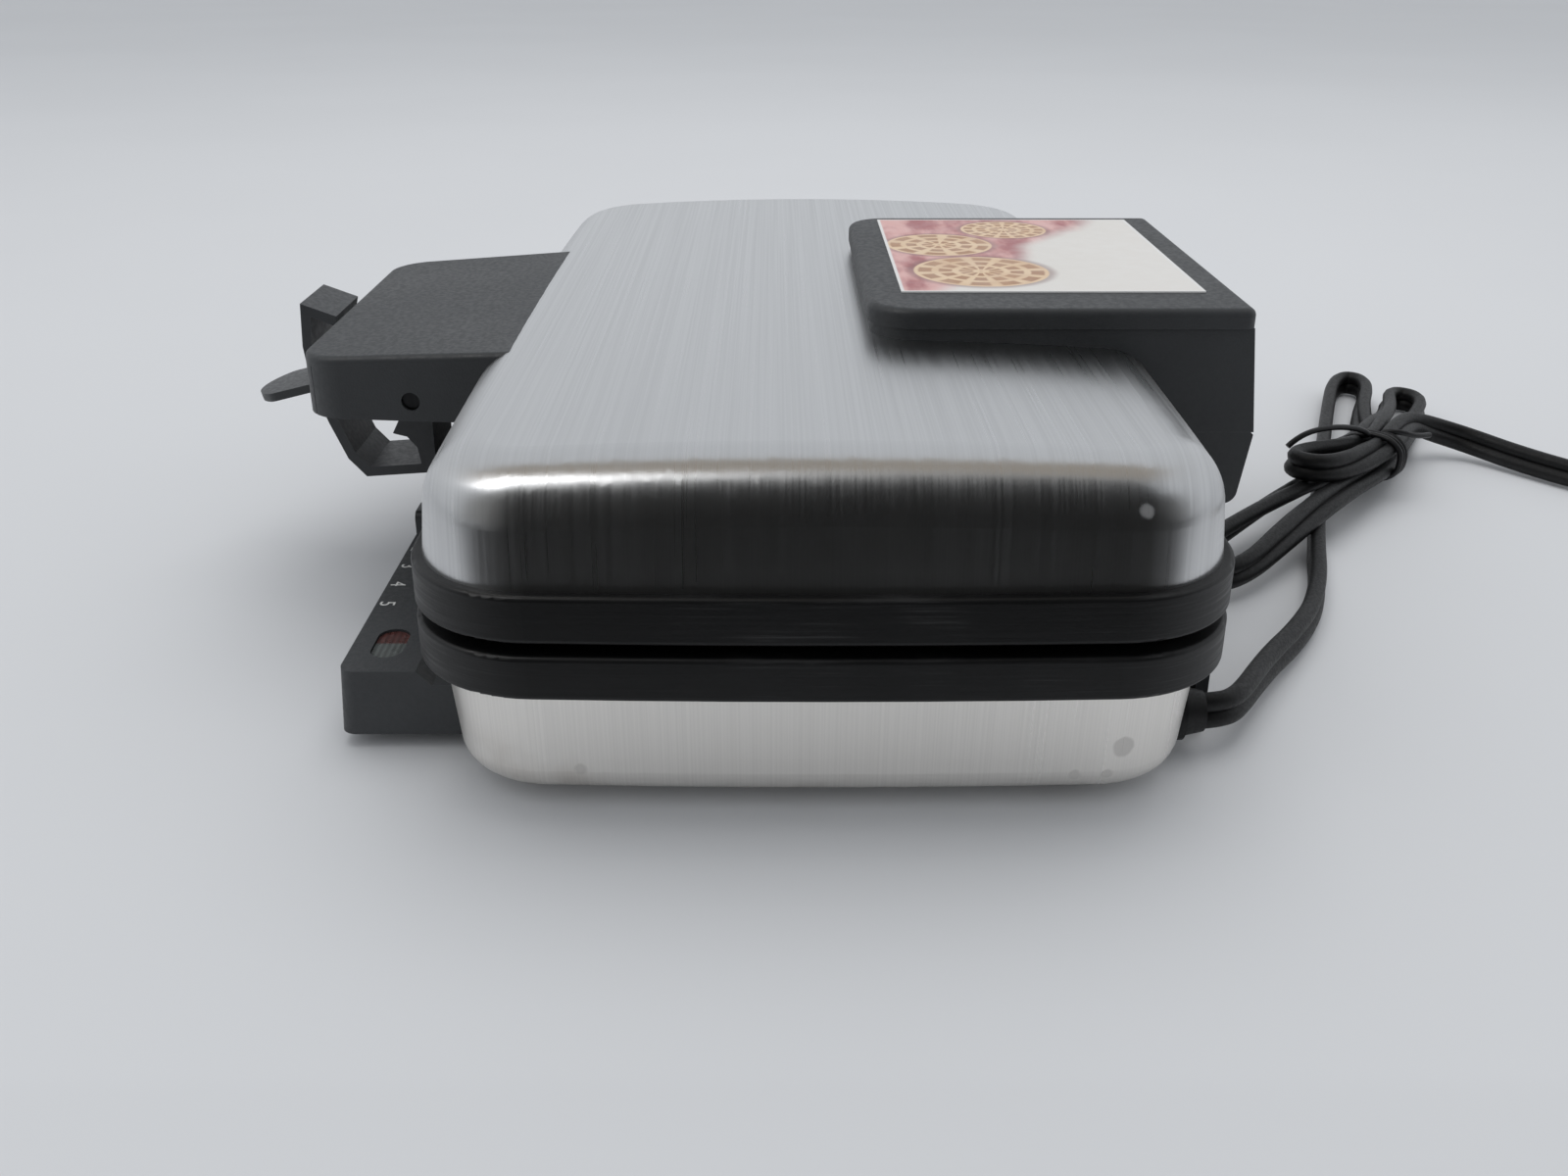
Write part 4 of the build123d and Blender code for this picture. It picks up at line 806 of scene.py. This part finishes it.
class PIZZELLE_OT_moulded_plug(bpy.types.Operator):
    """Mould the plug on the cord's end, with its tapered neck and narrower nose"""

    bl_idname = "pizzelle.moulded_plug"
    bl_label = "Moulded Plug"

    def pick_end(self, plug, forward):
        """Select the face at one end of the plug, seen along its length."""
        bpy.ops.mesh.select_all(action="DESELECT")
        bpy.ops.object.mode_set(mode="OBJECT")
        for face in plug.data.polygons:
            face.select = face.normal.y * forward > 0.99
        bpy.ops.object.mode_set(mode="EDIT")

    def pull(self, plug, forward, pulls):
        """Pull one end face out along the plug again and again, and resize it each time."""
        self.pick_end(plug, forward)
        for distance, width, height in pulls:
            bpy.ops.mesh.extrude_region_move(
                TRANSFORM_OT_translate={"value": (0.0, forward * distance, 0.0)}
            )
            bpy.ops.transform.resize(value=(width, 1.0, height))

    def execute(self, context):
        low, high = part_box("plug_body")
        entry = CORD_ROUTE[-1][0]
        way = entry - CORD_ROUTE[-2][0]
        pick_nothing()
        bpy.ops.mesh.primitive_cube_add(size=1.0)
        plug = bpy.context.object
        plug.scale = PLUG_BLOCK
        plug.location = (0.0, PLUG_MIDDLE, 0.0)
        bpy.ops.object.transform_apply(location=True, rotation=False, scale=True)
        bpy.ops.object.mode_set(mode="EDIT")
        bpy.ops.mesh.select_mode(type="FACE")
        self.pull(plug, -1.0, PLUG_NECK)
        self.pull(plug, 1.0, PLUG_NOSE)
        bpy.ops.object.mode_set(mode="OBJECT")
        bevel = plug.modifiers.new("rounding", "BEVEL")
        bevel.width = PLUG_ROUNDING
        bevel.segments = 3
        bpy.ops.object.modifier_apply(modifier="rounding")
        bpy.ops.object.shade_smooth_by_angle(angle=PLUG_SHADING)
        plug.rotation_euler = (0.0, 0.0, math.atan2(way.y, way.x) - math.pi / 2)
        plug.location = (entry.x, entry.y, (low.z + high.z) / 2)
        vinyl = cord_vinyl("plug_vinyl", context.scene.pizzelle_cord.colour)
        plug = settle(plug, "moulded_plug", vinyl)
        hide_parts("plug_body")
        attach(plug, "base")
        return {"FINISHED"}


# Printed scale: where each number stands across the housing and the foot of the numbers, in
# millimetres from the middle of the plates, and a figure's height as a share of the font's size
SCALE_PLACES = (30.5, 40.0, 49.7, 59.4, 69.4)
SCALE_FOOT = -91.6
FIGURE_SHARE = 0.7


class PIZZELLE_OT_scale_numbers(bpy.types.Operator):
    """Print the numbers of the temperature scale on the control housing"""

    bl_idname = "pizzelle.scale_numbers"
    bl_label = "Scale Numbers"

    def execute(self, context):
        sizes = context.scene.pizzelle_print
        ink = chalky("scale_ink", sizes.colour, 0.5, 2000.0)
        foot = (PLATE_Y + SCALE_FOOT) * MM
        digits = []
        for number, across in enumerate(SCALE_PLACES, 1):
            pick_nothing()
            bpy.ops.object.text_add(location=(across * MM, foot, panel_top))
            digit = bpy.context.object
            digit.data.body = str(number)
            digit.data.size = sizes.digit_height / FIGURE_SHARE
            digit.data.align_x = "CENTER"
            digit.data.extrude = sizes.ink_thickness
            digit.data.resolution_u = 6
            bpy.ops.object.convert(target="MESH")
            digits.append(bpy.context.object)
        pick_nothing()
        for digit in digits:
            digit.select_set(True)
        bpy.context.view_layer.objects.active = digits[0]
        bpy.ops.object.join()
        numbers = settle(bpy.context.object, "scale_numbers", ink)
        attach(numbers, "base")
        return {"FINISHED"}


# Finishes of the carried-over parts

# Dried drops on the pans, each with its place and radius in millimetres
LID_DROPS = ((126.0, 73.1, 60.3, 1.7),)
BASE_DROPS = (
    (124.0, 74.0, 13.8, 2.2),
    (124.0, 80.4, 17.2, 2.0),
    (123.0, 65.6, 8.1, 1.1),
    (123.0, 71.4, 8.3, 1.2),
    (124.0, -23.0, 9.5, 1.3),
)


class PIZZELLE_OT_steel_pans(bpy.types.Operator):
    """Give the lid and the base pan their brushed stainless finish"""

    bl_idname = "pizzelle.steel_pans"
    bl_label = "Steel Pans"

    def execute(self, context):
        finish = context.scene.pizzelle_finish
        dress(brushed_steel("lid_steel", finish.steel, LID_DROPS, 0.35, False), "lid_shell")
        base = brushed_steel("base_steel", finish.base_steel, BASE_DROPS, 0.55, True)
        dress(base, "base_shell")
        return {"FINISHED"}


class PIZZELLE_OT_plastics(bpy.types.Operator):
    """Give the rings, handle, latch, covers and control housing their plastics"""

    bl_idname = "pizzelle.plastics"
    bl_label = "Plastics"

    def execute(self, context):
        finish = context.scene.pizzelle_finish
        dress(ring_plastic("ring_plastic", finish.ring), "lower_ring", "upper_ring")
        housing = moulded_plastic("housing_plastic", finish.plastic)
        dress(
            housing,
            "handle_shell", "rear_cover_top", "rear_cover_base", "rear_cover_lower",
            "control_housing", "control_housing_cover", "cord_posts", "lid_hinge_arms",
            "base_hinge_arms", "latch_catch",
        )
        latch = moulded_plastic("latch_plastic", finish.plastic, 0.6, 0.44)
        dress(latch, "latch_loop", "temperature_slider")
        return {"FINISHED"}


class PIZZELLE_OT_baking_parts(bpy.types.Operator):
    """Give the baking plates, heaters and reflectors their metals"""

    bl_idname = "pizzelle.baking_parts"
    bl_label = "Baking Parts"

    def execute(self, context):
        dress(nonstick_casting("plate_coating"), "lower_grid_plate", "upper_grid_plate")
        dress(oxidised_sheath("heater_sheath"), "lower_heating_element", "upper_heating_element")
        sheet = plated_steel("bright_sheet", (0.78, 0.78, 0.77), 0.22)
        dress(
            sheet,
            "lower_heat_reflector", "upper_heat_reflector",
            "lower_element_straps", "upper_element_straps",
        )
        return {"FINISHED"}


class PIZZELLE_OT_fittings(bpy.types.Operator):
    """Give the pins, screws, feet, window and electrical parts their finishes"""

    bl_idname = "pizzelle.fittings"
    bl_label = "Fittings"

    def execute(self, context):
        screw = plated_steel("zinc_plate", (0.62, 0.62, 0.61), 0.32)
        dress(
            screw,
            "hinge_pin", "handle_screws", "cover_screws", "panel_screws",
            "foot_screws", "lower_strap_screws", "upper_strap_screws",
        )
        dress(plated_steel("dark_pin", (0.05, 0.05, 0.052), 0.45), "latch_pin")
        dress(plated_steel("blade_brass", (0.80, 0.66, 0.36), 0.25), "plug_blades")
        dress(chalky("ceramic", (0.76, 0.73, 0.66), 0.6, 500.0), "thermostat", "terminal_block")
        dress(chalky("foot_rubber", (0.028, 0.028, 0.029), 0.7, 900.0), "rubber_feet")
        dress(tinted_lens("red_lens", (0.085, 0.03, 0.026)), "indicator_red_lens")
        dress(tinted_lens("green_lens", (0.105, 0.115, 0.11)), "indicator_green_lens")
        dress(tinted_lens("lamp_glass", (0.7, 0.7, 0.66)), "indicator_lamps")
        relief = cord_vinyl("relief_vinyl", context.scene.pizzelle_cord.colour)
        dress(relief, "strain_relief")
        return {"FINISHED"}


class PIZZELLE_OT_label(bpy.types.Operator):
    """Print the label on the rear cover"""

    bl_idname = "pizzelle.label"
    bl_label = "Label"

    def execute(self, context):
        dress(label_print("label_print"), "cover_label")
        return {"FINISHED"}


# Stage: the cards that only reflections see, each with two opposite corners, its tone and its
# strength. An edge along Y goes through each of the corners.
CARDS = {
    "dark_floor": ((0.19, -0.45, 0.002), (0.62, 0.9, 0.002), (0.012, 0.012, 0.012), 1.0),
    "dark_room": ((0.62, -0.45, 0.0), (0.52, 0.9, 1.48), (0.014, 0.014, 0.014), 1.0),
    "dim_room": ((0.62, -1.6, 0.0), (0.62, -0.45, 0.95), (0.25, 0.25, 0.245), 1.0),
    "dim_corner": ((0.62, 0.9, 0.0), (0.62, 1.9, 0.95), (0.13, 0.13, 0.128), 1.0),
    "soft_glow": ((0.52, -0.24, 1.49), (0.30, 0.95, 1.2), (1.0, 1.0, 1.0), 0.3),
    "window_glow": ((0.52, -1.3, 1.12), (0.30, -0.27, 1.2), (1.0, 1.0, 1.0), 6.0),
    "warm_ceiling": ((0.30, -1.3, 1.2), (-0.2, 0.95, 1.2), (0.36, 0.32, 0.27), 1.0),
}
FLOOR_RADIUS = 9.0
LAMP_PLACE = Vector((-0.25, 0.1, 1.3))
LAMP_AIM = Vector((0.0, 0.0, 0.05))
LAMP_SIZE = 1.2


class PIZZELLE_OT_stage(bpy.types.Operator):
    """Make the floor, the reflected cards, the light from all round, the lamp and the camera"""

    bl_idname = "pizzelle.stage"
    bl_label = "Stage"

    def floor(self, colour):
        """Lay a large pale floor under the machine."""
        pick_nothing()
        bpy.ops.mesh.primitive_circle_add(vertices=96, radius=FLOOR_RADIUS, fill_type="NGON")
        floor = bpy.context.object
        recipe = Recipe("floor_paint", Roughness=0.75)
        cloud = recipe.between(recipe.noise(3.0), 0.3, 0.7, 0.98, 1.0)
        recipe.feed("Base Color", recipe.mix(1.0, colour, cloud, "MULTIPLY"))
        settle(floor, "floor", recipe.material)

    def card(self, name, start, end, shade, strength):
        """Hang a flat card that only reflections see, between edges along Y at two corners."""
        pick_nothing()
        bpy.ops.mesh.primitive_plane_add(size=1.0)
        card = bpy.context.object
        corners = [start, (start[0], end[1], start[2]), (end[0], start[1], end[2]), end]
        for vertex, corner in zip(card.data.vertices, corners):
            vertex.co = corner
        material = bpy.data.materials.new(name)
        material.use_nodes = True
        tree = material.node_tree
        glow = tree.nodes.new("ShaderNodeEmission")
        glow.inputs["Color"].default_value = (*shade, 1.0)
        glow.inputs["Strength"].default_value = strength
        tree.links.new(glow.outputs[0], tree.nodes["Material Output"].inputs["Surface"])
        settle(card, name, material)
        card.visible_camera = False
        card.visible_diffuse = False
        card.visible_shadow = False
        card.visible_transmission = False

    def lamp(self, power):
        """Hang one soft square lamp over the machine, unseen in reflections."""
        pick_nothing()
        bpy.ops.object.light_add(type="AREA", location=LAMP_PLACE)
        lamp = bpy.context.object
        lamp.name = "overhead_lamp"
        lamp.data.size = LAMP_SIZE
        lamp.data.energy = power
        lamp.visible_glossy = False
        lamp.rotation_euler = (LAMP_AIM - LAMP_PLACE).to_track_quat("-Z", "Y").to_euler()

    def sky(self, colour, strength, backdrop):
        """Light the scene from all round, with the same pale tone at its own level behind it."""
        world = bpy.data.worlds.new("studio_sky")
        bpy.context.scene.world = world
        world.use_nodes = True
        tree = world.node_tree
        background = tree.nodes["Background"]
        background.inputs["Color"].default_value = (*colour, 1.0)
        rays = tree.nodes.new("ShaderNodeLightPath")
        level = tree.nodes.new("ShaderNodeMapRange")
        level.inputs["To Min"].default_value = strength
        level.inputs["To Max"].default_value = backdrop
        tree.links.new(rays.outputs["Is Camera Ray"], level.inputs["Value"])
        tree.links.new(level.outputs["Result"], background.inputs["Strength"])

    def camera(self, stage):
        """Put the camera where the photograph was taken from."""
        pick_nothing()
        bpy.ops.object.camera_add(location=stage.eye)
        camera = bpy.context.object
        camera.name = "photo_camera"
        camera.rotation_euler = (math.pi / 2 - stage.pitch, 0.0, math.pi / 2)
        camera.data.sensor_width = 36.0
        camera.data.lens = stage.lens
        camera.data.shift_x = stage.shift
        camera.data.clip_start = 0.01
        bpy.context.scene.camera = camera

    def execute(self, context):
        stage = context.scene.pizzelle_stage
        context.scene.view_settings.view_transform = "Standard"
        self.floor(stage.floor_colour)
        for name, (start, end, shade, strength) in CARDS.items():
            self.card(name, start, end, shade, strength)
        self.sky(stage.sky_colour, stage.sky, stage.backdrop)
        self.lamp(stage.lamp)
        self.camera(stage)
        return {"FINISHED"}


class PIZZELLE_PT_panel(bpy.types.Panel):
    """Lists the steps that dress the pizzelle maker"""

    bl_label = "Pizzelle Maker"
    bl_space_type = "VIEW_3D"
    bl_region_type = "UI"
    bl_category = "Pizzelle Maker"

    def draw(self, context):
        for step in STEPS:
            self.layout.operator(step.bl_idname)
        for name, group in GROUPS.items():
            self.layout.label(text=group.__doc__)
            for item in group.__annotations__:
                self.layout.prop(getattr(context.scene, name), item)


STEPS = (
    PIZZELLE_OT_stage,
    PIZZELLE_OT_tie_wire,
    PIZZELLE_OT_moulded_plug,
    PIZZELLE_OT_cord,
    PIZZELLE_OT_steel_pans,
    PIZZELLE_OT_plastics,
    PIZZELLE_OT_baking_parts,
    PIZZELLE_OT_fittings,
    PIZZELLE_OT_label,
    PIZZELLE_OT_scale_numbers,
)


def register():
    """Add the classes and their settings to Blender."""
    for item in (*GROUPS.values(), *STEPS, PIZZELLE_PT_panel):
        bpy.utils.register_class(item)
    for name, group in GROUPS.items():
        setattr(bpy.types.Scene, name, bpy.props.PointerProperty(type=group))


def unregister():
    """Take the classes and their settings away again."""
    for name in GROUPS:
        delattr(bpy.types.Scene, name)
    for item in (PIZZELLE_PT_panel, *reversed(STEPS), *reversed(list(GROUPS.values()))):
        bpy.utils.unregister_class(item)


def main():
    """Dress the machine step by step."""
    register()
    for step in STEPS:
        group, name = step.bl_idname.split(".")
        getattr(getattr(bpy.ops, group), name)()


if __name__ == "__main__":
    main()
